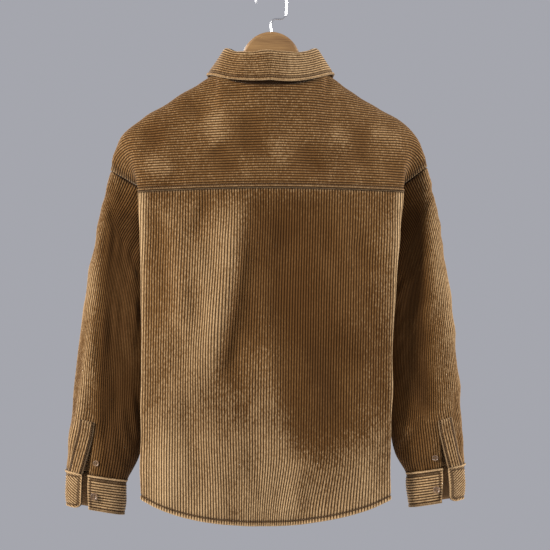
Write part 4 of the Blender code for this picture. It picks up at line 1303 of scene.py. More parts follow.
@dataclass
class Shell:
    """A closed shell of cloth between an outer and an inner grid, whose columns run across the wales."""

    name: str
    outer: Array
    inner: Array
    pile: Array
    # Wear on edges and seams, and on some panels painted highlights as well.
    wear: Array
    chosen: Array
    keep: Array | None = None
    joined: int = 0
    # The creases' relief, which the finish paints as shade in troughs and light on ridges.
    fold: Array | float = 0.0

    def build(self, finishes: Finishes, cut: Cut, rests_on: list[str],
              seam: Seam | None = None) -> Pieces:
        """Makes the panel and its stitches, and hides the plain solid that the panel takes the place of.

        Args:
            finishes: The part's materials.
            cut: The panel's flat size; not used.
            rests_on: What it hangs from; not used.
            seam: The stitches on it.

        Returns:
            The panel, and its stitches if it has any.
        """
        obj = self._mesh(finishes)
        sewn = [seam.build(finishes)] if seam else []
        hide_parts(self.name.removeprefix("cloth_"))
        return [obj, *sewn]

    def _mesh(self, finishes: Finishes) -> bpy.types.Object:
        """Makes the shell's mesh, with the inner grid only at the chosen columns.

        Args:
            finishes: The part's materials.

        Returns:
            The object.
        """
        rows, columns = self.outer.shape[:2]
        keep = np.ones((rows - 1, columns - 1), bool) if self.keep is None else self.keep
        few = len(self.chosen)
        here = np.arange(rows * columns).reshape(rows, columns)
        there = rows * columns + np.arange(rows * few).reshape(rows, few)
        points = np.vstack([self.outer.reshape(-1, 3), self.inner[:, self.chosen].reshape(-1, 3)])
        outer = self._quads(here)[keep.ravel()]
        inner = self._quads(there)[keep[:, self.chosen[:-1]].ravel()][:, ::-1]
        rims = self._rims(here, there, keep)
        across = self.outer[:-1, 1:] - self.outer[:-1, :-1]
        down = self.outer[1:, :-1] - self.outer[:-1, :-1]
        away = (self.outer - self.inner)[:-1, :-1]
        flip = np.sum(np.cross(across, down) * away) < 0
        _, first, index = np.unique(np.round(points * 1e6).astype(np.int64), axis=0, return_index=True,
                                    return_inverse=True)
        index = index.ravel()
        faces, kinds = [], []
        for kind, group in enumerate((outer.tolist(), inner.tolist(), rims)):
            for face in group:
                ring = list(dict.fromkeys(index[list(face)].tolist()))
                if len(ring) > 2:
                    faces.append(ring[::-1] if flip else ring)
                    kinds.append(kind)
        kinds = np.array(kinds)
        # What the finish reads: the pile's height, the wear with painted highlights, and the creases' relief
        # for painted shade and light.
        shades = {"wale": np.append(self.pile.ravel(), np.zeros(rows * few))[first],
                  "wear": np.append(self.wear.ravel(), self.wear[:, self.chosen].ravel())[first],
                  "fold": np.append(np.broadcast_to(self.fold, (rows, columns)).ravel() / FOLD_HEIGHT,
                                    np.zeros(rows * few))[first].clip(-1, 1)}
        return piece(self.name, points[first], faces, [finishes.corduroy, finishes.weave], kinds != 2,
                     (kinds == 1).astype(np.int32), shades)

    @staticmethod
    def _quads(grid: Array) -> Array:
        """The grid's cells as rows of four numbers."""
        corners = (grid[:-1, :-1], grid[:-1, 1:], grid[1:, 1:], grid[1:, :-1])
        return np.stack([part.ravel() for part in corners], axis=1)

    def _rims(self, here: Array, there: Array, keep: Array) -> list[list[int]]:
        """The narrow faces between the two grids, wherever the cloth ends.

        Args:
            here: Vertex numbers of the outer grid.
            there: Vertex numbers of the inner grid.
            keep: Which cells are cloth.

        Returns:
            The faces as lists of vertex numbers.
        """
        cells = np.pad(keep[:, self.chosen[:-1]], 1)
        faces = []
        for i in range(here.shape[0]):
            for k, (a, b) in enumerate(zip(self.chosen, self.chosen[1:])):
                above, below = cells[i, k + 1], cells[i + 1, k + 1]
                if above and not below:
                    faces.append([*here[i, a:b + 1], there[i, k + 1], there[i, k]])
                elif below and not above:
                    faces.append([*here[i, a:b + 1][::-1], there[i, k], there[i, k + 1]])
        for i in range(here.shape[0] - 1):
            for k, j in enumerate(self.chosen):
                ends = k in (0, len(self.chosen) - 1)
                before, after = cells[i + 1, k], cells[i + 1, k + 1]
                if before == after or (ends and i < self.joined):
                    continue
                edge = [here[i, j], here[i + 1, j], there[i + 1, k], there[i, k]]
                faces.append(edge if after else edge[::-1])
        return faces


def rows_down(high: Array, hem: Array, count: int) -> list[Array]:
    """Heights of a panel's rows: even ones from a height down, then the close ones of the hem."""
    low = hem + HEM_ROWS[-1] + ROW_GAP
    return [high + (low - high) * k / count for k in range(count + 1)] + [hem + d for d in HEM_ROWS[::-1]]


def hem_relief(distance: Array, run: Array, seed: int) -> Array:
    """A turned hem's roll, stitch groove and puckers.

    Args:
        distance: Distance from the hem's edge.
        run: Distance along the hem.
        seed: Start of the random draw.

    Returns:
        Heights out of the cloth.
    """
    puckers = np.sin(run / 0.0016) * 0.5 + ripple(run, distance * 0.3, seed, 0.6, 0.016)
    roll = 0.0007 * bell(distance - 0.0032, 0.0034)
    groove = -0.0007 * bell(distance - HEM_STITCH, 0.0013)
    return roll + groove + 0.00035 * puckers * bell(distance - 0.006, 0.006)


def edged(pile: Array, distance: Array) -> Array:
    """The pile with a full roll of it along a turned edge, over the distance from that edge."""
    return np.maximum(pile, 0.85 * bell(np.maximum(distance - 0.0008, 0), 0.0009))


@dataclass
class BackPanel:
    """The lower back: wales upright, from the yoke seam to the shirt-tail hem."""

    body: Body
    cut: Cut = Cut(0.580, 0.530, 0.289)
    step: float = 0.0085
    creases: tuple[Crease, ...] = drawn(
        (-120, -260, -116, -480, -124, -700, -140, -960, 5.5, 70, 60),
        (34, -250, 50, -450, 66, -640, 94, -860, -7.4, 62, 84),
        (-40, -310, -58, -394, -68, -490, -82, -586, -100, -660, 7, 32, 14),
        (-20, -310, -32, -420, -44, -500, -60, -590, -86, -680, -6.5, 15, 34),
        (-104, -310, -110, -370, -120, -420, -4, 12, 16),
        (8, -330, 12, -450, 18, -560, -3, 14, 20),
        (-12, -540, 6, -680, 30, -830, 5.6, 30, 18),
        (84, -540, 104, -640, 120, -770, -3, 40, 30),
        (128, -400, 150, -440, 172, -470, -3.4, 14, 16),
        (184, -350, 190, -440, 186, -560, 3.6, 22, 12),
        (-170, -690, -156, -780, -152, -850, 4.2, 20, 14),
        (-130, -640, -116, -740, -108, -850, -3.6, 14, 24),
        (50, -740, 40, -800, 30, -870, 3.8, 14, 16),
        (88, -730, 78, -800, 66, -870, -3, 14, 18),
        (-60, -770, -50, -870, -2.6, 20, 26),
        (-180, -350, -168, -470, -172, -600, -2.6, 18, 22),
        (150, -700, 162, -800, 160, -860, 3, 22, 16),
    )

    def folds(self, u: Array, z: Array) -> Array:
        """The back's creases and low waves."""
        inside = ease((self.body.side_from - np.abs(u)) / 0.03)
        waves = ripple(u, z, Seed.BACK, 0.0007, 0.06) * (0.3 + 0.7 * inside)
        return (creased(self.creases, u, z) * inside + waves) * ease((self.body.back_top_z(u) - z) / 0.035)

    def relief(self, u: Array, z: Array) -> Array:
        """How far the back stands out of its broad form, without the pile."""
        puckers = puckered(u, 0.0004, 0.0021, 2, 0.013) * bell(self.body.back_top_z(u) - z, 0.012)
        return self.folds(u, z) + puckers + hem_relief(z - self.body.hem_z(u), u, Seed.BACK_HEM)

    def sway(self, u: Array, z: Array) -> Array:
        """How far the wales lean from upright."""
        lean = -0.016 * bell(u - 0.070, 0.075) * ease((-0.740 - z) / 0.12)
        pull = 0.0035 * np.sin(z / 0.075 + 0.8) * bell(u + 0.070, 0.060)
        return (lean + pull) * ease((0.22 - np.abs(u)) / 0.05)

    def at(self, u: Array, z: Array, lift: Array | float) -> Array:
        """Points of the back, lifted off it."""
        places = u + self.sway(u, z)
        return self.body.back.at(places, z, self.relief(places, z) + lift)

    def build(self, finishes: Finishes) -> Pieces:
        """Makes the panel and its stitches.

        Args:
            finishes: The part's materials.

        Returns:
            The panel and its stitches.
        """
        body = self.body
        reach = body.back_half - GAP
        wales = Wales.between(-reach, reach)
        u = wales.places
        top, hem = body.back_top_z(u) - GAP, body.hem_z(u)
        count = int(round((body.yoke_seam_top_z - body.hem_centre_z) / self.step))
        z = np.array([top - d for d in TOP_ROWS] + rows_down(top - TOP_ROWS[-1] - ROW_GAP, hem, count))
        u = np.broadcast_to(u, z.shape)
        edge = z - hem
        flat = 1 - 0.55 * bell(edge - HEM_STITCH, 0.0014) - 0.35 * bell(top - z, 0.0014)
        flat *= 1 - 0.6 * ease((np.abs(u) - 0.244) / 0.004) * ease((z - top + 0.06) / 0.05)
        pile = edged(wales.heights * flat, edge)
        # Worn hem and seam edges; a pale strip along the body's fold edges, partly wear and partly a painted
        # highlight; paler towards the hem.
        wear = np.maximum.reduce([bell(edge - 0.001, 0.0030), 0.35 * bell(top - z, 0.003),
                                  0.95 * bell(np.abs(u) - 0.206, 0.009), 0.66 * ease((-0.600 - z) / 0.260)])
        outer, inner = self.at(u, z, pile * PILE), self.at(u, z, -CLOTH)
        seam = Seam("stitches_back")
        run = np.linspace(-reach, reach, 500)
        seam.add(lambda lift: self.at(run, body.hem_z(run) + HEM_STITCH, lift), 0.55)
        # The creases' relief also goes to the finish as painted shade and light.
        shell = Shell("cloth_back", outer, inner, pile, wear, wales.chosen, fold=self.folds(u, z))
        return shell.build(finishes, self.cut, ["hanger_wood"], seam)


@dataclass
class YokePanel:
    """The yoke: wales across, folded over the shoulder line down to the front yoke seams."""

    body: Body
    cut: Cut = Cut(0.5184, 0.245, 0.105)
    step: float = 0.0046
    stitch: float = 0.0066
    armhole_stitch: float = 0.0065
    creases: tuple[Crease, ...] = drawn(
        (-100, -200, -86, -235, -70, -262, 3, 20, 22),
        (-96, -262, -74, -285, -60, -310, -3.2, 16, 18),
        (-210, -285, -176, -296, -150, -305, 2.6, 14, 16),
        (-206, -222, -184, -245, -170, -262, -2.8, 14, 14),
        (-46, -200, -36, -240, -40, -290, -2.2, 22, 20),
        (8, -240, 14, -275, 20, -305, 2.4, 14, 14),
        (50, -255, 62, -285, 72, -315, -2.4, 18, 18),
        (90, -235, 110, -250, 128, -262, 2.6, 14, 14),
        (130, -230, 140, -262, 138, -300, -2.6, 14, 16),
        (150, -235, 185, -245, 210, -262, 2.4, 12, 14),
        (170, -290, 196, -300, 216, -322, -2.2, 12, 14),
        (-130, -180, -120, -200, -100, -225, -1.8, 14, 14),
    )
    front_creases: tuple[Crease, ...] = drawn(
        (-200, -235, -170, -245, -130, -235, -2, 12, 14),
        (120, -215, 160, -240, 200, -245, -2, 14, 12),
    )

    def __post_init__(self) -> None:
        """Keeps the lines of every station."""
        body = self.body
        inside = np.linspace(0, body.neck_half - 1e-4, 20)
        width = body.yoke_half - body.neck_half
        beyond = np.linspace(body.neck_half, body.yoke_half - GAP / 2, int(width / self.step))
        half = np.concatenate([inside, beyond])
        self.neck_row = len(inside)
        self.stations = np.concatenate([-half[:0:-1], half])
        self.spans = np.array([self.ends(station) for station in self.stations])
        self.total = self.spans[-len(half):, 1].max()
        self.places = np.linspace(0, self.total + 0.004, 150)
        self.points = np.stack([along(self.path(station)[0], self.places) for station in self.stations])
        free = self._free()
        spread = np.exp(-((self.stations[:, None] - self.stations) / 0.011) ** 2) * np.gradient(self.stations)
        spread /= spread.sum(1, keepdims=True)
        self.points += (np.tensordot(spread, self.points, 1) - self.points) * free
        self.normals = self._normals(free)

    def path(self, station: float) -> tuple[Array, float]:
        """A station's line from the back yoke seam over the shoulder, and the ridge's place on it.

        Args:
            station: Signed distance from the centre line.

        Returns:
            The line and the ridge's distance along it.
        """
        side = Side.LEFT if station < 0 else Side.RIGHT
        back = self.body.line(abs(station), side, Half.BACK)[::-1]
        ridge = lengths(back)[-1]
        if abs(station) < self.body.neck_half:
            return np.vstack([back, back[-1] + unit(back[-1] - back[-2]) * 0.01]), ridge
        return np.vstack([back, self.body.line(abs(station), side, Half.FRONT)[1:]]), ridge

    def ends(self, station: float) -> tuple[float, float]:
        """The ridge's place on a station's line, and the place of the line's end.

        Args:
            station: Signed distance from the centre line.

        Returns:
            Both distances.
        """
        ridge = self.path(station)[1]
        if abs(station) < self.body.neck_half:
            return ridge, ridge - GAP / 2
        return ridge, ridge + self.body.front_yoke_depth - GAP / 2

    def _free(self) -> Array:
        """How free each place is of the neck's corner, where the lines of the stations may be evened out.

        Returns:
            Shares from 0, held, to 1, free.
        """
        near = np.abs(self.stations[:, None] - self.stations) < 0.026
        least = np.where(near, self.spans[:, 1], 1.0).min(1)
        inside = ease((0.050 - np.abs(np.abs(self.stations) - self.body.neck_half)) / 0.025)
        return (ease((least[:, None] - 0.004 - self.places) / 0.045) * inside[:, None])[..., None]

    def _normals(self, free: Array) -> Array:
        """Outward normals at the kept places, on each side of the neck's corner by itself near the neck.

        Args:
            free: How free each place is of the neck's corner.

        Returns:
            The normals.
        """
        up = np.gradient(self.points, axis=1)
        across = np.empty_like(self.points)
        middle = len(self.stations) // 2
        low, high = middle - self.neck_row + 1, middle + self.neck_row
        for part in (slice(0, low), slice(low, high), slice(high, None)):
            across[part] = np.gradient(self.points[part], self.stations[part], axis=0)
        whole = np.gradient(self.points, self.stations, axis=0)
        return unit(np.cross(across + (whole - across) * free, up))

    def folds(self, points: Array, s: Array) -> Array:
        """The yoke's creases, behind and ahead of the shoulder line.

        Args:
            points: Points of the yoke.
            s: Places along the lines of the stations.

        Returns:
            Heights out of the cloth.
        """
        x, z = points[..., 0], points[..., 2]
        past = s - self.spans[:, :1]
        behind = creased(self.creases, x, z) * ease(-past / 0.05)
        return behind + creased(self.front_creases, x, z) * ease((past - 0.01) / 0.02)

    def relief(self, points: Array, s: Array) -> Array:
        """How far the yoke stands out of its form, without the pile.

        Args:
            points: Points of the yoke.
            s: Places along the lines of the stations.

        Returns:
            Heights out of the cloth.
        """
        x, z = points[..., 0], points[..., 2]
        armhole = self.body.yoke_half - np.abs(self.stations)[:, None]
        lip = 0.0009 * bell(s - 0.0024, 0.0032) - 0.0008 * bell(s - self.stitch, 0.0013)
        lip = lip - 0.0007 * bell(armhole - self.armhole_stitch, 0.0016)
        puckers = puckered(x, 0.0004, 0.0017, 3, 0.017) * bell(s - 0.008, 0.008)
        held = ease(s / 0.012) * ease((armhole + 0.006) / 0.014)
        folds = self.folds(points, s) + ripple(x * 0.7, z * 1.3, Seed.YOKE, 0.0006, 0.045)
        return folds * (0.3 + 0.7 * held) + lip + puckers

    def grid(self, s: Array, lift: Array | float) -> Array:
        """Points of every station's line at places along it, lifted off the cloth."""
        spots, outs = (np.stack([between(row, self.places, line) for row, line in zip(s, values)])
                       for values in (self.points, self.normals))
        return spots + unit(outs) * (self.relief(spots, s) + lift)[..., None]

    def build(self, finishes: Finishes) -> Pieces:
        """Makes the panel and its stitches.

        Args:
            finishes: The part's materials.

        Returns:
            The panel and its stitches.
        """
        body = self.body
        ridge = self.ends(body.neck_half)[0]
        wales = Wales.between(GAP / 2, self.total, ridge)
        ends = self.spans[:, 1:]
        s = np.minimum(wales.places, ends)
        armhole = body.yoke_half - np.abs(self.stations)[:, None]
        flat = 1 - 0.5 * bell(s - self.stitch, 0.0014) - 0.6 * bell(ends - s, 0.002)
        flat = flat - 0.5 * bell(armhole - self.armhole_stitch, 0.0016)
        pile = edged(wales.heights * flat * (s < ends - 1e-6), s)
        wear = np.maximum(0.95 * bell(s - 0.001, 0.0024), 0.45 * bell(armhole - 0.001, 0.004))
        outer, inner = self.grid(s, pile * PILE), self.grid(s, -CLOTH)
        chosen = wales.chosen
        keep = np.ones((len(s) - 1, s.shape[1] - 1), bool)
        cut = chosen[np.searchsorted(wales.places[chosen], ridge - 1e-7)]
        middle = len(self.stations) // 2
        for row in (middle - self.neck_row, middle + self.neck_row - 1):
            keep[row, cut:] = False
        # The creases' relief, doubled, for the finish's painted shade and light.
        fold = self.folds(outer, s) * 2.0
        shell = Shell("cloth_yoke", outer, inner, pile, wear, chosen, keep, fold=fold)
        return shell.build(finishes, self.cut, ["hanger_wood"], self._seam())

    def _seam(self) -> Seam:
        """The stitches above the yoke seam and beside the armholes.

        Returns:
            The stitches.
        """
        seam = Seam("stitches_yoke")
        s = np.full((len(self.stations), 1), self.stitch)
        seam.add(lambda lift: self.grid(s, lift)[:, 0], 0.4)
        places = np.linspace(0.006, self.total, 120)
        row = int(np.argmin(np.abs(self.stations - (self.body.yoke_half - self.armhole_stitch))))
        for k in (row, len(self.stations) - 1 - row):
            reach = np.minimum(places, self.spans[k, 1] - 0.003)
            grid = np.broadcast_to(reach, (len(self.stations), len(places)))
            seam.add(lambda lift: self.grid(grid, lift)[k], 0.4)
        return seam


@dataclass
class FrontPanel:
    """One front: wales upright, with a folded band along its free edge."""

    body: Body
    side: Side
    cut: Cut = Cut(0.2508, 0.700, 0.166)
    step: float = 0.0085
    band: float = 0.030
    edge_stitch: float = 0.004
    creases: tuple[Crease, ...] = drawn(
        (60, -290, 76, -420, 66, -560, -4, 22, 30),
        (118, -280, 140, -380, 150, -470, 3.4, 20, 20),
        (160, -420, 140, -520, 150, -640, -3.4, 18, 24),
        (50, -600, 70, -700, 64, -840, 3.6, 20, 26),
        (110, -600, 122, -720, 112, -850, -3.4, 24, 22),
        (176, -560, 168, -680, 172, -820, 2.6, 14, 18),
    )

    def __post_init__(self) -> None:
        """Keeps the upper half's surface, from the top seam to the chest."""
        body = self.body
        keys = np.array([0, body.overlap / body.front_width, body.front_armhole])
        shares = np.unique(np.concatenate([np.linspace(0, body.front_armhole, 70), keys]))
        lines = np.stack([body.front_line(self.side, s) for s in shares])
        self.upper = Chart(shares, np.linspace(0, 1, lines.shape[1]), lines, self.side)

    def relief(self, share: Array, z: Array) -> Array:
        """How far the front stands out of its form, without the pile.

        Args:
            share: Shares of its width.
            z: Heights.

        Returns:
            Heights out of the cloth.
        """
        width = share * self.body.front_width
        x = width - self.body.overlap
        folds = creased(self.creases, x + 0.006 * self.side, z - 0.012 * self.side)
        folds *= ease((self.body.front_fold - share) / 0.12 + 0.3) * ease((x - 0.012) / 0.03)
        band = 0.0008 * ease((self.band + 0.003 - width) / 0.003)
        grooves = bell(width - self.edge_stitch, 0.0012) + bell(width - self.band, 0.0014)
        hem = hem_relief(z - self.body.front_hem_z(share), width, Seed.FRONT_HEM)
        waves = ripple(x, z, Seed.FRONT + self.side, 0.0006) * ease(x / 0.04)
        return folds + band - 0.0006 * grooves + hem + waves

    def at(self, share: Array, z: Array, turn: Array, lift: Array | float) -> Array:
        """Points of the front, lifted off it.

        Args:
            share: Shares of its width.
            z: Heights below the chest, used where turn is 1.
            turn: Share of the way from the top seam to the chest.
            lift: Distance off the cloth.

        Returns:
            The points.
        """
        above = self.upper.at(np.minimum(share, self.body.front_armhole), turn)
        height = np.where(turn < 1, above[..., 2], z)
        out = self.relief(share, height) + lift
        low = self.body.fronts[self.side].at(share, z, out)
        high = self.upper.at(np.minimum(share, self.body.front_armhole), turn, out)
        return np.where((turn < 1)[..., None], high, low)

    def build(self, finishes: Finishes) -> Pieces:
        """Makes the front and its stitches.

        Args:
            finishes: The part's materials.

        Returns:
            The panel and its stitches.
        """
        body = self.body
        armhole = body.front_armhole * body.front_width
        wales = Wales.between(0, body.front_width - GAP, armhole)
        places = wales.places
        seam_at = int(np.searchsorted(places, armhole - 1e-7))
        share = places / body.front_width
        beyond = share > body.front_armhole + 1e-9
        top = np.where(beyond, body.front_armhole_z(share) - GAP, body.chest_z)
        hem = body.front_hem_z(share)
        turns = np.concatenate([[0.003, 0.012, 0.03], np.linspace(0.06, 0.96, 19)])
        rows = rows_down(top, hem, int(round((body.chest_z - body.hem_centre_z) / self.step)))
        z = np.array([top] * len(turns) + rows)
        turn = np.concatenate([turns, np.ones(len(rows))])[:, None] * np.ones(len(places))
        turn[:, beyond] = 1
        share = np.broadcast_to(share, z.shape)
        width = share * body.front_width
        edge = np.where(turn < 1, 1.0, z - hem)
        near_top = np.where(beyond, np.maximum(top - z, 0), 1.0) * np.ones(z.shape)
        flat = 1 - 0.75 * bell(edge - HEM_STITCH, 0.0016) - 0.6 * bell(width - self.edge_stitch, 0.0014)
        flat = (flat - 0.6 * bell(width - self.band, 0.0014)).clip(0, 1) * (1 - 0.8 * bell(near_top, 0.02))
        flat *= np.where(share > body.front_fold + 0.03, 0.45, 1.0)
        pile = wales.heights * flat * ease(turn / 0.03)
        wear = np.maximum(bell(edge - 0.001, 0.003), 0.8 * bell(width, 0.0025))
        outer, inner = self.at(share, z, turn, pile * PILE), self.at(share, z, turn, -CLOTH)
        keep = np.ones((len(z) - 1, len(places) - 1), bool)
        keep[:len(turns), seam_at:] = False
        shell = Shell(f"cloth_front_{self.side.word}", outer, inner, pile, wear, wales.chosen, keep)
        return shell.build(finishes, self.cut, ["cloth_yoke"], self._seam())

    def _seam(self) -> Seam:
        """The stitches of the band and the hem.

        Returns:
            The stitches.
        """
        body, chest = self.body, self.body.chest_z
        seam = Seam(f"stitches_front_{self.side.word}")
        turn = np.concatenate([np.linspace(0.05, 0.99, 30), np.ones(70)])
        for width in (self.edge_stitch, self.band):
            share = np.full(100, width / body.front_width)
            hem = float(body.front_hem_z(share[0]))
            z = np.concatenate([np.full(30, chest), np.linspace(chest - 0.001, hem + 0.007, 70)])
            seam.add(lambda lift: self.at(share, z, turn, lift), 0.45)
        share = np.linspace(0.02, 0.99, 240)
        z = body.front_hem_z(share) + HEM_STITCH
        seam.add(lambda lift: self.at(share, z, np.ones(240), lift), 0.5)
        return seam


@dataclass
class SleevePanel:
    """One sleeve: wales lengthwise, with its slit open at the cuff, and the tower placket beside the slit."""

    arm: Arm
    creases: tuple[Crease, ...]
    front_creases: tuple[Crease, ...]
    cut: Cut = Cut(0.440, 0.490, 0.134)
    placket_cut: Cut = Cut(0.025, 0.100, 0.0025)
    step: float = 0.0075
    ring_step: float = 0.055
    placket_width: float = 0.025
    placket_from: float = 6.68
    placket_lift: float = 0.0027
    placket_stitch: float = 0.0035
    placket_slant: float = 0.10

    @property
    def side(self) -> Side:
        """The sleeve's side."""
        return self.arm.side

    def folds(self, offset: Array, v: Array) -> Array:
        """The sleeve's creases, behind and ahead of its outer line.

        Args:
            offset: Offsets from the sleeve's outer line.
            v: Ring numbers.

        Returns:
            Heights out of the cloth.
        """
        points = self.arm.at(offset, v)
        behind = ease(0.5 - offset / 0.024)
        x, z = points[..., 0], points[..., 2]
        return creased(self.creases, x, z) * behind + creased(self.front_creases, x, z) * (1 - behind)

    def shade(self, offset: Array, v: Array) -> Array:
        """Painted shade and light for the finish: the creases' relief, a painted highlight along the outer
        line, and painted shade on the half that hangs towards the body.

        Args:
            offset: Offsets from the sleeve's outer line.
            v: Ring numbers.

        Returns:
            Heights, as the finish reads them.
        """
        # Painted shade on the inner half, deeper on the left sleeve, and a painted highlight along the outer
        # line.
        inner = ease((np.abs(offset) - 0.052) / 0.045) * ease(v / 0.9)
        outer = bell(np.abs(offset) - 0.024, 0.022)
        depth = 0.0120 - 0.0062 * self.side
        return 1.4 * self.folds(offset, v) + 0.0045 * outer - depth * inner

    def relief(self, offset: Array, v: Array) -> Array:
        """How far the sleeve stands out of its form, without the pile.

        Args:
            offset: Offsets from the sleeve's outer line.
            v: Ring numbers.

        Returns:
            Heights out of the cloth.
        """
        back, front = self.arm.reach(v)
        underarm = ease(np.minimum(offset + back, front - offset) / 0.03)
        run = v * self.ring_step
        puckers = puckered(offset, 0.0008, 0.0052, 2, 0.021) * bell(run - 0.008, 0.014)
        seam = -0.0009 * bell(run, 0.0025)
        cuff = puckered(offset, 0.0007, 0.0034, 1, 0.015) * bell(self.arm.last - v, 0.24)
        folds = self.folds(offset, v) + ripple(offset, run, Seed.SLEEVE + self.side, 0.0008, 0.05)
        return (folds + puckers) * underarm + seam + cuff

    def at(self, offset: Array, v: Array, lift: Array | float) -> Array:
        """Points of the sleeve, lifted off it."""
        return self.arm.at(offset, v, self.relief(offset, v) + lift)

    def build(self, finishes: Finishes) -> Pieces:
        """Makes the sleeve, its placket and their stitches.

        Args:
            finishes: The part's materials.

        Returns:
            The panel and its stitches.
        """
        arm = self.arm
        back, front = (float(part) for part in arm.reach(0))
        wales = Wales.between(-back, front)
        middle = int(np.searchsorted(wales.places, -arm.slit_offset))
        order = np.concatenate([np.arange(middle, len(wales.places)), np.arange(middle + 1)])
        columns = wales.places[order] + arm.slit_offset
        columns[[0, -1]] = 0
        valleys = wales.valleys[order]
        valleys[[0, -1]] = True
        after = np.arange(len(columns)) < len(wales.places) - middle
        count = int(0.50 / self.step)
        even = np.linspace(0.12, arm.slit_ring, count - 14)
        split = np.linspace(arm.slit_ring + 0.06, arm.last - 0.10, 14)
        rows = np.concatenate([[0.004, 0.03, 0.07], even, split, [arm.last - 0.05, arm.last - 0.004]])
        v = rows[:, None] * np.ones(len(columns))
        opening = np.where(after, 1, -1) * arm.gap(v) / 2 * np.exp(-np.abs(columns) / 0.014)
        offset = columns + arm.slit(v) + opening
        reach_back, reach_front = arm.reach(v)
        rim = np.minimum(offset + reach_back, reach_front - offset)
        inside = rim > 0
        flat = (1 - 0.7 * bell(v, 0.05)) * (1 - 0.5 * bell(arm.last - v, 0.05)) * ease(rim / 0.006)
        pile = wales.heights[order] * flat * inside
        thin = np.where(v < 1.2, np.clip(rim / 0.008, 0.45, 1), 1.0)
        wear = np.maximum(0.25 * bell(v, 0.08), 0.22 * bell(offset, 0.010))
        outer, inner = self.at(offset, v, pile * PILE), self.at(offset, v, -CLOTH * thin)
        joined = int(np.sum(rows <= arm.slit_ring)) - 1
        shell = Shell(f"cloth_sleeve_{self.side.word}", outer, inner, pile, wear, np.flatnonzero(valleys),
                      joined=joined, fold=self.shade(offset, v))
        return [*shell.build(finishes, self.cut, ["cloth_yoke"]), *self._placket(finishes)]

    def _placket_at(self, across: Array, v: Array, lift: Array | float) -> Array:
        """Points of the placket, whose free edge curls a little off the slit.

        Args:
            across: Distances from the placket's free edge.
            v: Ring numbers.
            lift: Distance out of the cloth.

        Returns:
            The points.
        """
        arm, stitch = self.arm, self.placket_stitch
        offset = arm.slit(v) + arm.gap(v) / 2 + across
        curl = 0.0016 * bell(across, 0.006) * arm.down_from(arm.slit_ring, v)
        grooves = bell(across - stitch, 0.0010) + bell(across - self.placket_width + stitch, 0.0010)
        return arm.at(offset, v, self.relief(offset, v) + self.placket_lift + curl - 0.0004 * grooves + lift)

    def _placket(self, finishes: Finishes) -> Pieces:
        """Makes the placket and its stitches.

        Args:
            finishes: The part's materials.

        Returns:
            The placket and its stitches.
        """
        arm, width, word = self.arm, self.placket_width, self.side.word
        wales = Wales.between(0, width)
        rows = np.linspace(self.placket_from, arm.last - 0.02, 30)
        across = np.broadcast_to(wales.places, (len(rows), len(wales.places)))
        slant = self.placket_slant * (1 - ease((rows - rows[0]) / 0.5))[:, None] * (across / width - 0.5)
        v = rows[:, None] + slant
        end = bell((v - self.placket_from) * self.ring_step - 0.002, 0.003)
        sides = np.minimum(across, width - across)
        pile = edged(wales.heights * (1 - 0.4 * bell(sides - self.placket_stitch, 0.0010)), sides)
        wear = np.maximum(0.35, np.maximum(bell(across, 0.0022), 0.7 * np.maximum(bell(sides, 0.0016), end)))
        outer, inner = self._placket_at(across, v, pile * PILE), self._placket_at(across, v, -CLOTH)
        seam = Seam(f"stitches_placket_{word}")
        top, run = self.placket_from + 0.06, np.linspace(self.placket_from + 0.06, arm.last - 0.05, 40)
        for place in (self.placket_stitch, width - self.placket_stitch):
            seam.add(lambda lift: self._placket_at(np.full(40, place), run, lift), 0.6)
        places = np.linspace(0.002, width - 0.002, 20)
        for ring in (top, arm.slit_ring - 0.05, arm.slit_ring):
            lean = ring + self.placket_slant * (places / width - 0.5)
            seam.add(lambda lift: self._placket_at(places, lean, lift), 0.7)
        shell = Shell(f"cloth_placket_{word}", outer, inner, pile, wear, wales.chosen)
        return shell.build(finishes, self.placket_cut, [f"cloth_sleeve_{word}"], seam)


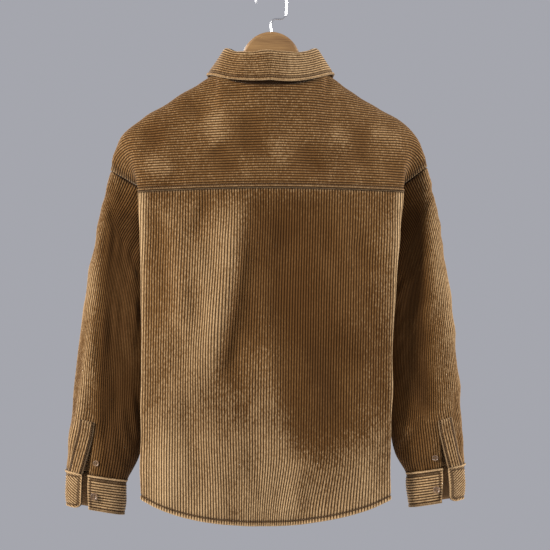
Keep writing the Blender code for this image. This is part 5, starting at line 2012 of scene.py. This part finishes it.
@dataclass
class Cuff:
    """One cuff: wales running round, open at the slit, its flap's wales turned by how it was folded."""

    sleeve: SleevePanel
    cut: Cut = Cut(0.246, 0.054, 0.0130)
    drop: float = 0.054
    flare: float = 0.003
    taper: float = 0.0035
    lap: float = 0.0018
    thick: float = 0.0022
    corner: float = 0.012
    flap: float = 0.030
    bulge: float = 0.0022
    lean: float = 0.62
    stitch: float = 0.0045
    columns: int = 225
    rows: int = 79
    every: int = 6

    @cached_property
    def total(self) -> float:
        """Length of the cuff round the wrist."""
        arm = self.sleeve.arm
        back, front = arm.reach(arm.last)
        return float(front + back - arm.slit_gap)

    def line(self, shares: Array, depth: Array, lift: Array | float) -> Array:
        """Points round the cuff.

        Args:
            shares: Shares from the flap's end to the button's end.
            depth: Depths below the sleeve.
            lift: Distance out of the cloth.

        Returns:
            The points.
        """
        arm = self.sleeve.arm
        back, front = arm.reach(arm.last)
        start = arm.slit(arm.last) + arm.slit_gap / 2
        offset = start + shares * self.total
        offset = np.where(offset > front, offset - front - back, offset)
        top = arm.at(offset, arm.last)
        middle = (arm.at(np.array(0.0), arm.last) + arm.at(np.asarray(front), arm.last)) / 2
        away = unit((top - middle) * np.array([1, 1, 0]))
        down = np.array([0.001 * self.sleeve.side, 0, -1])
        run = shares * self.total
        low = depth / self.drop
        bulge = (self.flare * bell(run, 0.030) - self.taper * (1 - bell(run, 0.045))) * low
        bulge += self.bulge * np.sin(math.pi * np.clip(low, 0, 1))
        return top + down * depth[..., None] + away * (bulge + self._relief(shares, depth) + lift)[..., None]

    def _relief(self, shares: Array, depth: Array) -> Array:
        """Low waves, seam rolls and stitch grooves.

        Args:
            shares: Shares round the wrist.
            depth: Depths below the sleeve.

        Returns:
            Heights out of the cloth.
        """
        run = shares * self.total
        rims = np.minimum(depth, self.drop - depth)
        wave = ripple(run, depth, Seed.CUFF + self.sleeve.side, 0.0007, 0.04)
        lip = 0.0005 * bell(rims, 0.003) + 0.0013 * bell(depth + self.lap, 0.0030)
        return wave + lip - 0.0005 * bell(rims - self.stitch, 0.0012)

    def build(self, finishes: Finishes) -> Pieces:
        """Makes the cuff and its stitches.

        Args:
            finishes: The part's materials.

        Returns:
            The panel and its stitches.
        """
        run = np.concatenate([self.corner * (1 - np.cos(np.linspace(0, math.pi / 2, 9)[:-1])),
                              np.linspace(self.corner, self.total, self.columns)])
        shares = run / self.total
        depth = np.linspace(-self.lap, self.drop, self.rows)
        turned = np.maximum(self.corner - run, 0)
        cut = (self.corner - np.sqrt(self.corner**2 - turned**2))[:, None]
        deep = depth[None, :] * (1 - cut / self.drop)
        across = np.broadcast_to(run[:, None], deep.shape)
        phase = (deep + self.lean * np.minimum(across, self.flap)) / PITCH
        sides = np.minimum.reduce([deep, self.drop - cut - deep, across, self.total - across])
        height = np.abs(np.sin(math.pi * phase)) ** 0.7
        pile = edged(height * (1 - 0.45 * bell(sides - self.stitch, 0.0012)), sides)
        wear = np.maximum(0.65, bell(sides, 0.0018))
        grid = np.broadcast_to(shares[:, None], deep.shape)
        outer, inner = self.line(grid, deep, pile * PILE), self.line(grid, deep, -self.thick)
        word = self.sleeve.side.word
        seam = Seam(f"stitches_cuff_{word}")
        rim = np.linspace(self.corner, self.total - 0.004, 200) / self.total
        for place in (self.stitch, self.drop - self.stitch):
            seam.add(lambda lift: self.line(rim, np.full(200, place), lift), 0.6)
        down = np.linspace(0.006, self.drop - 0.008, 30)
        for place in (self.stitch / self.total, 1 - self.stitch / self.total):
            seam.add(lambda lift: self.line(np.full(30, place), down, lift), 0.6)
        chosen = np.arange(0, self.rows, self.every)
        shell = Shell(f"cloth_cuff_{word}", outer, inner, pile, wear, chosen)
        return shell.build(finishes, self.cut, [f"cloth_sleeve_{word}"], seam)


@dataclass(frozen=True)
class CollarRow:
    """The collar at a share of half the neck: the stand's lean and rise, the leaf's reach, drop, spread."""

    along: float
    lean: float
    rise: float
    out: float
    down: float
    spread: float


@dataclass
class Collar:
    """The stand round the neck and the leaf that rolls over it and falls outside."""

    body: Body
    stand_cut: Cut = Cut(0.450, 0.050, 0.0175)
    leaf_cut: Cut = Cut(0.520, 0.078, 0.0293)
    thick: float = 0.0022
    step: float = 0.0024
    leaf_top: float = 0.0031
    roll: float = 0.0058
    tuck: float = 0.0026
    settle: float = 0.0022
    stand_length: float = 0.042
    leaf_length: float = 0.060
    leaf_drop: float = 0.056
    half_neck: float = 0.235
    stitch: float = 0.0060
    lap_from: float = 0.66
    lap_run: float = 0.20
    ends: tuple[float, float] = (1.055, 0.985)
    rows: tuple[CollarRow, ...] = (
        CollarRow(0.00, 0.002, 0.050, 0.0088, 0.043, 0.000),
        CollarRow(0.25, 0.008, 0.043, 0.0175, 0.042, 0.000),
        CollarRow(0.45, 0.018, 0.036, 0.037, 0.038, 0.000),
        CollarRow(0.70, 0.010, 0.033, 0.024, 0.052, 0.012),
        CollarRow(1.00, 0.001, 0.030, 0.012, 0.064, 0.046),
    )

    def neck(self, shares: Array) -> tuple[Array, Array]:
        """Points round the neck seam at signed shares from the back's centre, and the level way out.

        Args:
            shares: Signed shares of half the neck.

        Returns:
            The points and the ways out.
        """
        points = np.empty((len(shares), 3))
        for k, share in enumerate(shares):
            side = Side.LEFT if share < 0 else Side.RIGHT
            path, centre = self.body.half_neck(side)
            points[k] = along(path, abs(share) * centre)
            points[k, 1] += -side * self.step * ease((abs(share) - self.lap_from) / self.lap_run)
        return points, unit(points * np.array([1, 1.6, 0]))

    def sizes(self, shares: Array) -> Array:
        """The collar's sizes at signed shares round the neck."""
        table = [(row.lean, row.rise, row.out, row.down, row.spread) for row in self.rows]
        return spline([row.along for row in self.rows], table, np.minimum(np.abs(shares), 1)).T

    def fold(self, shares: Array) -> tuple[Array, Array]:
        """The collar's fold line and the way out at each place."""
        base, away = self.neck(shares)
        lean, rise = self.sizes(shares)[:2]
        return base - away * lean[:, None] + np.outer(rise, [0, 0, 1]), away

    def build(self, finishes: Finishes) -> Pieces:
        """Makes the stand, the leaf and the leaf's stitches."""
        return [*self._stand(finishes), *self._leaf(finishes)]

    def _stand(self, finishes: Finishes) -> Pieces:
        """The stand, from the neck seam up to the fold.

        Args:
            finishes: The part's materials.

        Returns:
            The stand, in a list.
        """
        end = self.ends[0]
        shares = np.linspace(-end, end, 151)
        base, away = self.neck(shares)
        fold, _ = self.fold(shares)
        wales = Wales.between(0.0, self.stand_length)
        height = wales.places / wales.places[-1]
        climb = (fold - base)[:, None]
        start = 0.0009 / climb[..., 2:]
        points = base[:, None] + climb * (start + (1 - start) * height[None, :, None])
        points[:, 0] = base - away * self.tuck - [0, 0, self.tuck]
        sides = (end - np.abs(shares))[:, None] * 0.2
        pile = wales.heights * np.ones((len(shares), 1)) * 0.8
        wear = np.maximum(0.8 * bell(height - 1, 0.08)[None, :], 0.8 * bell(sides, 0.003))
        waves = ripple(shares[:, None] * 0.2, height * 0.04, Seed.STAND, 0.0004)
        lift = pile * PILE * 0.6 + waves
        outer = points + away[:, None] * lift[..., None]
        inner = points - away[:, None] * self.thick
        shell = Shell("cloth_collar_stand", outer, inner, pile, wear, wales.chosen)
        return shell.build(finishes, self.stand_cut, ["cloth_yoke"])

    def leaf_grid(self, shares: Array, places: Array, lift: Array) -> Array:
        """Points of the leaf.

        Args:
            shares: Signed shares round the neck.
            places: Shares from the leaf's hidden edge over the roll down to its free edge.
            lift: Distance out of the cloth, one for each share and place.

        Returns:
            The grid of points.
        """
        fold, away = self.fold(shares)
        _, _, out, down, spread = self.sizes(shares)
        grid = np.empty((len(shares), len(places), 3))
        for k, share in enumerate(shares):
            over = 2 * self.step * float(np.clip((share - self.lap_from) / self.lap_run, 0, 1))
            corner = np.array([self.roll + over, self.leaf_top])
            wave = 0.0006 * math.sin(share * 9.0 + 0.6) + 0.0005 * math.sin(share * 23.0)
            sag = 0.0012 * math.sin(share * 13.0 + 1.0)
            end = np.array([out[k] + over + wave - self.settle, -down[k] - sag])
            turn = turned_corner(corner - [0.004, 0], corner, corner + unit(end - corner) * 0.004)
            path = np.vstack([[-0.0012, self.leaf_top], turn, end])
            total = lengths(path)[-1]
            flat = along(path, places * total)
            ahead = along(path, places * total + 0.0008) - along(path, places * total - 0.0008)
            normal = unit(np.column_stack([-ahead[:, 1], ahead[:, 0]]))
            spot = flat + normal * lift[k][:, None]
            slide = np.clip(-spot[:, 1] / down[k], 0, 1) * spread[k] * np.sign(share)
            grid[k] = fold[k] + np.outer(spot[:, 0], away[k]) + np.outer(spot[:, 1], [0, 0, 1])
            grid[k, :, 0] += slide
        return grid

    def _leaf_relief(self, shares: Array, places: Array) -> Array:
        """Low waves and the stitch groove of the leaf.

        Args:
            shares: Signed shares of half the neck.
            places: Shares of the way to the leaf's free edge.

        Returns:
            Heights out of the cloth.
        """
        run = shares[:, None] * self.half_neck
        drop = (1 - places)[None, :] * self.leaf_drop
        groove = -0.0006 * bell(drop - self.stitch, 0.0014) + 0.0006 * bell(drop - 0.0025, 0.0030)
        puckers = puckered(run, 0.00035, 0.0016, 2, 0.014) * bell(drop - 0.005, 0.006)
        waves = ripple(run, drop, Seed.LEAF, 0.0009, 0.05) * ease(drop / 0.004 + 0.3)
        return waves + groove + puckers

    def _sewn_leaf(self, shares: Array, places: Array, lift: float) -> Array:
        """Points of the finished leaf, lifted off it."""
        return self.leaf_grid(shares, places, self._leaf_relief(shares, places) + lift)

    def _leaf(self, finishes: Finishes) -> Pieces:
        """The leaf, wales running round, and its stitches.

        Args:
            finishes: The part's materials.

        Returns:
            The leaf and its stitches.
        """
        end = self.ends[1]
        shares = np.linspace(-end, end, 191)
        wales = Wales.between(0.0, self.leaf_length)
        places = wales.places / self.leaf_length
        relief = self._leaf_relief(shares, places)
        drop = (1 - places)[None, :] * self.leaf_drop
        rim = np.minimum(drop, (end - np.abs(shares))[:, None] * self.half_neck)
        pile = edged(wales.heights * (1 - 0.45 * bell(rim - self.stitch, 0.0013)), rim)
        wear = np.maximum(bell(rim, 0.0026), 0.6 * bell(wales.places - 0.008, 0.005)[None, :])
        # Painted light: the leaf grows paler towards its right half, the side that faces the light.
        wear = np.maximum(wear, 0.22 + 0.42 * ease(shares[:, None] / 0.3 + 0.3))
        outer = self.leaf_grid(shares, places, relief + pile * PILE)
        inner = self.leaf_grid(shares, places, relief * 0.5 - self.thick)
        seam = Seam("stitches_collar")
        near = np.linspace(-end + 0.022, end - 0.022, 400)
        low = 1 - self.stitch / self.leaf_drop
        seam.add(lambda lift: self._sewn_leaf(near, np.array([low]), lift)[:, 0], 0.5)
        down = np.linspace(0.3, low, 20)
        for share in (near[0], near[-1]):
            seam.add(lambda lift: self._sewn_leaf(np.array([share]), down, lift)[0], 0.5)
        shell = Shell("cloth_collar_leaf", outer, inner, pile, wear, wales.chosen)
        return shell.build(finishes, self.leaf_cut, ["cloth_collar_stand"], seam)


@dataclass
class Buttons:
    """Every button: a turned disc with a rolled rim, four holes and a cross of thread."""

    thick: float = 0.0026
    hole: float = 0.00085
    hole_depth: float = 0.0008
    spread: float = 0.0017
    thread: float = 0.00042
    segments: int = 32
    strand_sides: int = 6
    profile: tuple[tuple[float, float], ...] = (
        (0.0, 0.60), (0.55, 0.60), (0.66, 0.66), (0.74, 0.88), (0.84, 1.0), (0.93, 0.96), (0.985, 0.78),
        (1.0, 0.50), (0.97, 0.18), (0.88, 0.0), (0.0, 0.0),
    )

    def build(self, finishes: Finishes) -> Pieces:
        """Puts a finer button in place of each plain one."""
        return [self._place(name, node, finishes) for name, node in sorted(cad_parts.items())
                if name.startswith("button")]

    def _place(self, name: str, node: bpy.types.Object, finishes: Finishes) -> bpy.types.Object:
        """Makes one button where its plain solid is.

        Args:
            name: The solid's name.
            node: The solid.
            finishes: The part's materials.

        Returns:
            The button.
        """
        spots = np.array([vertex.co for vertex in node.data.vertices])
        centre = (spots.min(0) + spots.max(0)) / 2
        _, _, axes = np.linalg.svd(spots - spots.mean(0), full_matrices=False)
        normal = axes[2]
        outwards = np.array([0.0, 1.0, 0.0]) if centre[1] > 0.02 else np.array([0.0, -1.0, 0.0])
        normal = normal * (1 if normal @ outwards > 0 else -1)
        flat = spots - centre - np.outer((spots - centre) @ normal, normal)
        radius = float(np.max(np.linalg.norm(flat, axis=1)))
        side = unit(np.cross(normal, [0.0, 0.0, 1.0]))
        up = np.cross(side, normal)
        base = centre - normal * self.thick / 2
        points, faces = self._disc(radius)
        count = len(faces)
        cross_points, cross_faces = self._cross(len(points))
        points = np.vstack([points, cross_points])
        world = base + points[:, :1] * side + points[:, 1:2] * up + points[:, 2:] * normal
        faces = faces + cross_faces
        which = (np.arange(len(faces)) >= count).astype(np.int32)
        obj = piece(f"fine_{name}", world, faces, [finishes.horn, finishes.thread], True, which)
        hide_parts(name)
        return obj

    def _disc(self, radius: float) -> tuple[Array, list]:
        """The turned disc, whose flat middle is pierced by four dished holes.

        Args:
            radius: The disc's radius.

        Returns:
            The points and the faces.
        """
        count = self.segments
        turns = np.linspace(0, 2 * math.pi, count, endpoint=False)
        rings = np.array([(r * radius, h * self.thick) for r, h in self.profile[1:-1]])
        points = [(r * math.cos(a), r * math.sin(a), h) for r, h in rings for a in turns]
        faces = []
        for k in range(len(rings) - 1):
            for n in range(count):
                a, b = k * count + n, k * count + (n + 1) % count
                faces.append((a, a + count, b + count, b))
        faces.append(tuple((len(rings) - 1) * count + n for n in range(count))[::-1])
        self._face(points, faces, count)
        return np.array(points), faces

    def _face(self, points: list, faces: list, count: int) -> None:
        """The middle of the face: four sectors, each a ring round a hole with a dark floor.

        Args:
            points: The disc's points, which are added to.
            faces: Its faces, likewise.
            count: How many points a ring has.
        """
        steps = count // 4
        top = self.profile[0][1] * self.thick
        hub = len(points)
        points.append((0.0, 0.0, top))
        spokes = []
        for quarter in range(4):
            rim = points[quarter * steps]
            spokes.append(len(points))
            points.append((rim[0] / 2, rim[1] / 2, top))
        for quarter in range(4):
            edge = [(quarter * steps + n) % count for n in range(steps + 1)]
            ring = [*edge, spokes[(quarter + 1) % 4], hub, spokes[quarter]]
            middle = (quarter + 0.5) * math.pi / 2
            centre = (self.spread * math.cos(middle), self.spread * math.sin(middle))
            first = len(points)
            for n, corner in enumerate(ring):
                spot = np.array(points[corner][:2]) - centre
                spot = centre + spot / np.linalg.norm(spot) * self.hole
                points.append((spot[0], spot[1], top))
            for spot in list(points[first:]):
                points.append((spot[0], spot[1], top - self.hole_depth))
            size = len(ring)
            for n in range(size):
                m = (n + 1) % size
                faces.append((ring[n], ring[m], first + m, first + n))
                faces.append((first + n, first + m, first + size + m, first + size + n))
            faces.append(tuple(first + size + n for n in range(size)))

    def _cross(self, base: int) -> tuple[Array, list]:
        """Two crossed strands of thread between the holes.

        Args:
            base: Number of its first vertex.

        Returns:
            The points and the faces.
        """
        points, faces = [], []
        thread, sides = self.thread, self.strand_sides
        top = self.profile[0][1] * self.thick
        shape = ((-1.0, -0.7), (-0.75, 0.3), (0.0, 0.55), (0.75, 0.3), (1.0, -0.7))
        for turn, lift in ((math.pi / 4, 0.0), (3 * math.pi / 4, 0.0004)):
            way = np.array([math.cos(turn), math.sin(turn)])
            beside = np.array([-way[1], way[0]])
            faces += tube(base + len(points), len(shape), sides)
            for place, rise in shape:
                centre = top + rise * 0.0008 + lift * (1 - abs(place))
                for angle in np.linspace(0, 2 * math.pi, sides, endpoint=False):
                    spot = way * place * self.spread + beside * thread * math.cos(angle) * 1.4
                    points.append((*spot, centre + thread * math.sin(angle)))
        return np.array(points), faces


@dataclass
class Hanger:
    """The wooden hanger and its wire hook."""

    body: Body
    wire: float = 0.0033
    hook_radius: float = 0.0243
    wood_top_z: float = -0.077
    hump: float = 0.050
    thick: float = 0.012
    bevel: float = 0.0042
    seat: float = 0.0010

    def build(self, finishes: Finishes) -> Pieces:
        """Makes the wood and the hook.

        Args:
            finishes: The part's materials.

        Returns:
            The wood and the hook.
        """
        wood = self._curve("fine_hanger_wood", self._outline(), finishes.wood, True)
        wood.rotation_euler = (math.pi / 2, 0, 0)
        hook = self._curve("fine_hanger_hook", self._route(), finishes.steel, False)
        pieces = []
        for obj, node, slot in ((wood, "hanger_wood", "wood"), (hook, "hanger_hook", "steel")):
            bpy.context.view_layer.update()
            solid = obj.evaluated_get(bpy.context.evaluated_depsgraph_get())
            mesh = bpy.data.meshes.new_from_object(solid)
            mesh.transform(obj.matrix_world)
            whole = bpy.data.objects.new(node.replace("hanger", "hanger_fine"), mesh)
            bpy.context.scene.collection.objects.link(whole)
            bpy.data.objects.remove(obj)
            mesh.shade_smooth()
            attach(whole, "root")
            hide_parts(node)
            pieces.append(whole)
        return pieces

    def _arm(self, side: Side) -> list[tuple[float, float]]:
        """One arm's outline from the neck over the tip and back below.

        Args:
            side: Which side of the garment.

        Returns:
            The corners as (x, z).
        """
        path, _ = self.body.ridges[side]
        xs = np.array([0.100, 0.125, 0.155, 0.185, 0.205])
        zs = np.interp(xs, path[:, 0] * side, path[:, 2])
        slope = np.arctan(np.gradient(zs, xs))
        top = [(x * side, z - (CLOTH + self.seat) / math.cos(a)) for x, z, a in zip(xs, zs, slope)]
        neck = [(0.062 * side, top[0][1] + 0.0215), (0.084 * side, top[0][1] + 0.0055)]
        end_x, end_z = top[-1]
        end = [(end_x + side * 0.0085, end_z - 0.010), (end_x + side * 0.0055, end_z - 0.019),
               (end_x - side * 0.006, end_z - 0.022)]
        return neck + top + end + [(0.150 * side, top[2][1] - 0.029), (0.075 * side, -0.168)]

    def _outline(self) -> Array:
        """The wood's outline as a smooth closed path in its own plane.

        Returns:
            The path.
        """
        arc = math.radians(66)
        hump = [(self.hump * 0.95 * math.sin(a), self.wood_top_z - self.hump * (1 - math.cos(a)))
                for a in np.linspace(-arc, arc, 17)]
        corners = np.array(hump + self._arm(Side.RIGHT) + [(0.0, -0.130)] + self._arm(Side.LEFT)[::-1])
        ring = np.vstack([corners[-2:], corners, corners[:3]])
        keys = lengths(ring)
        smooth = spline(keys, ring, np.linspace(keys[2], keys[-3], 260)[:-1])
        return np.column_stack([smooth, np.zeros(len(smooth))])

    def _route(self) -> Array:
        """The wire's route: the stem with a jog, then the open round hook.

        Returns:
            The path.
        """
        centre = self.wire / 2 - self.hook_radius
        route = [(0.0005, self.wood_top_z + GAP), (0.0005, -0.0625), (0.0022, -0.0590), (0.0205, -0.0550),
                 (0.0238, -0.0520), (self.hook_radius, -0.0470)]
        route += [(self.hook_radius * math.cos(a), centre + self.hook_radius * math.sin(a))
                  for a in np.linspace(0, math.pi * 1.12, 17)]
        path = np.array([(x, 0, z) for x, z in route])
        keys = lengths(path)
        return spline(keys, path, np.linspace(0, keys[-1], 150))

    def _curve(self, name: str, path: Array, material: Material, flat: bool) -> bpy.types.Object:
        """A curve object that is a bevelled board or a round wire.

        Args:
            name: Its name.
            path: The points of its middle or outline.
            material: Its finish.
            flat: Whether it is the board.

        Returns:
            The curve object.
        """
        curve = bpy.data.curves.new(name, "CURVE")
        curve.dimensions = "2D" if flat else "3D"
        curve.bevel_resolution = 5
        if flat:
            curve.fill_mode = "BOTH"
            curve.extrude = self.thick / 2 - self.bevel
            curve.bevel_depth = self.bevel
            curve.offset = -self.bevel
        else:
            curve.bevel_depth = self.wire / 2
            curve.use_fill_caps = True
        shape = curve.splines.new("POLY")
        shape.points.add(len(path) - 1)
        for point, spot in zip(shape.points, path):
            point.co = (*spot, 1)
        shape.use_cyclic_u = flat
        obj = bpy.data.objects.new(name, curve)
        curve.materials.append(material)
        bpy.context.scene.collection.objects.link(obj)
        return obj


@dataclass
class Studio:
    """A pale floor, soft light and the camera behind the garment."""

    target: tuple[float, float, float] = (0.0064, 0.0, -0.466)
    distance: float = 3.6
    frame_width: float = 0.88
    floor_z: float = -1.95
    wall: Colour = (0.376, 0.382, 0.422)
    lights: tuple[tuple, ...] = (
        ("key", (-2.75, -1.70, 0.70), 0.8, 160.0, (1.0, 0.95, 0.88)),
        ("rim", (2.90, -0.30, 0.50), 0.7, 120.0, (1.0, 0.97, 0.93)),
        ("front_key", (-2.0, 2.4, 0.5), 1.4, 90.0, (1.0, 0.98, 0.95)),
    )

    def build(self) -> None:
        """Makes the floor, the lights, the sky and the camera."""
        bpy.ops.mesh.primitive_grid_add(x_subdivisions=4, y_subdivisions=4, size=14,
                                        location=(0, 0, self.floor_z))
        floor = bpy.context.object
        floor.name = "floor"
        floor.data.materials.append(Plaster().make())
        scene = bpy.context.scene
        scene.view_settings.view_transform = "Standard"
        world = bpy.data.worlds.new("pale_room")
        world.use_nodes = True
        world.node_tree.nodes["Background"].inputs[0].default_value = (*self.wall, 1)
        world.node_tree.nodes["Background"].inputs[1].default_value = 1.0
        scene.world = world
        for light in self.lights:
            self._light(*light)
        camera = bpy.data.cameras.new("camera")
        camera.lens = camera.sensor_width * self.distance / self.frame_width
        camera.clip_end = 60
        seat = bpy.data.objects.new("camera", camera)
        seat.location = Vector(self.target) - Vector((0, self.distance, 0))
        seat.rotation_euler = (math.pi / 2, 0, 0)
        scene.collection.objects.link(seat)
        scene.camera = seat

    def _light(self, name: str, place: tuple[float, float, float], size: float, power: float,
               colour: Colour) -> None:
        """An area light that faces the garment.

        Args:
            name: Its name.
            place: Where it stands.
            size: Its width.
            power: Its power in watts.
            colour: Its colour.
        """
        lamp = bpy.data.lights.new(name, "AREA")
        lamp.size = size
        lamp.energy = power
        lamp.color = colour
        obj = bpy.data.objects.new(name, lamp)
        obj.location = place
        obj.rotation_euler = (Vector(self.target) - Vector(place)).to_track_quat("-Z", "Y").to_euler()
        bpy.context.scene.collection.objects.link(obj)


def ringed(*rows: tuple[float, float, float, float]) -> tuple[Ring, ...]:
    """Rings of a sleeve from rows in millimetres: x and z of the outer point, then of the inner one."""
    scaled = (tuple(size / 1000 for size in row) for row in rows)
    return tuple(Ring(row[:2], row[2:], *depths) for row, depths in zip(scaled, RING_DEPTHS))


# The middle's depth and the reach behind and ahead of it for each ring, alike on both sides.
RING_DEPTHS = (
    (0.005, 0.024, 0.020), (0.004, 0.030, 0.025), (0.003, 0.034, 0.029), (0.002, 0.036, 0.032),
    (0.002, 0.036, 0.033), (0.002, 0.034, 0.032), (0.002, 0.031, 0.030), (0.002, 0.027, 0.027),
)
LEFT_RINGS = ringed(
    (265, -335, 171, -506), (274, -368, 173, -540), (281, -410, 183, -572), (290, -468, 190, -612),
    (303, -548, 197, -664), (313, -630, 203, -716), (320, -706, 212, -757), (327, -779, 232, -795),
)
RIGHT_RINGS = ringed(
    (257, -326, 164, -506), (264, -360, 165, -540), (271, -404, 174, -572), (279, -466, 180, -610),
    (290, -550, 186, -662), (299, -630, 191, -710), (305, -702, 199, -750), (308.5, -769, 218, -783),
)
LEFT_CREASES = drawn(
    (-283, -430, -284, -490, -290, -545, 3.4, 8, 10),
    (-246, -260, -250, -420, -252, -560, -246, -720, -9.5, 19, 34),
    (-284, -510, -298, -640, -309, -700, -324, -770, 3.6, 7, 12),
    (-296, -520, -310, -650, -322, -720, -3.2, 8, 7),
    (-222, -440, -220, -520, -222, -600, 3, 8, 8),
    (-236, -640, -254, -690, -268, -740, -3.2, 12, 12),
    (-246, -245, -236, -262, -222, -285, 2.2, 8, 10),
)
RIGHT_CREASES = drawn(
    (228, -260, 230, -420, 230, -560, 224, -700, -9.5, 30, 18),
    (258, -330, 262, -440, 268, -540, 3.6, 14, 12),
    (278, -440, 284, -520, 292, -600, 3.4, 10, 8),
    (254, -505, 240, -535, 222, -566, 3.6, 10, 12),
    (294, -640, 296, -680, 298, -708, -3.4, 7, 6),
    (300, -700, 301, -730, 300, -764, -3.4, 7, 6),
    (224, -700, 214, -720, 206, -740, 3, 8, 8),
    (236, -590, 246, -650, 256, -700, -3.4, 14, 12),
)
FRONT_SLEEVE_CREASES = drawn(
    (262, -340, 258, -450, 262, -560, -4, 18, 18),
    (286, -470, 270, -530, 246, -580, 3.6, 12, 14),
    (230, -590, 250, -640, 280, -680, -3.4, 12, 12),
    (300, -600, 288, -680, 276, -740, 3, 12, 10),
)


def mirrored(creases: tuple[Crease, ...], side: Side) -> tuple[Crease, ...]:
    """Creases drawn for the right side, turned over for the left and moved a little so the two differ.

    Args:
        creases: Creases of the right side.
        side: The side they are for.

    Returns:
        The creases for that side.
    """
    if side == Side.RIGHT:
        return creases
    return tuple(replace(crease, route=tuple((-x - 0.008, z - 0.018) for x, z in crease.route),
                         left=crease.right, right=crease.left) for crease in creases)


def main() -> None:
    """Builds every sub-assembly in order and reports each piece."""
    finishes = Finishes.all()
    body = Body()
    made = [*BackPanel(body).build(finishes), *YokePanel(body).build(finishes)]
    sides = ((Side.LEFT, LEFT_RINGS, LEFT_CREASES), (Side.RIGHT, RIGHT_RINGS, RIGHT_CREASES))
    for side, rings, creases in sides:
        sleeve = SleevePanel(Arm(body, side, rings), creases, mirrored(FRONT_SLEEVE_CREASES, side))
        for assembly in (FrontPanel(body, side), sleeve, Cuff(sleeve)):
            made += assembly.build(finishes)
    for assembly in (Collar(body), Buttons(), Hanger(body)):
        made += assembly.build(finishes)
    Studio().build()
    for obj in made:
        obj.data.calc_loop_triangles()
        LOG.info("%s: %d triangles", obj.name, len(obj.data.loop_triangles))
    LOG.info("in all: %d triangles", sum(len(obj.data.loop_triangles) for obj in made))


if __name__ == "__main__":
    logging.basicConfig(level=logging.INFO, format="%(message)s")
    main()
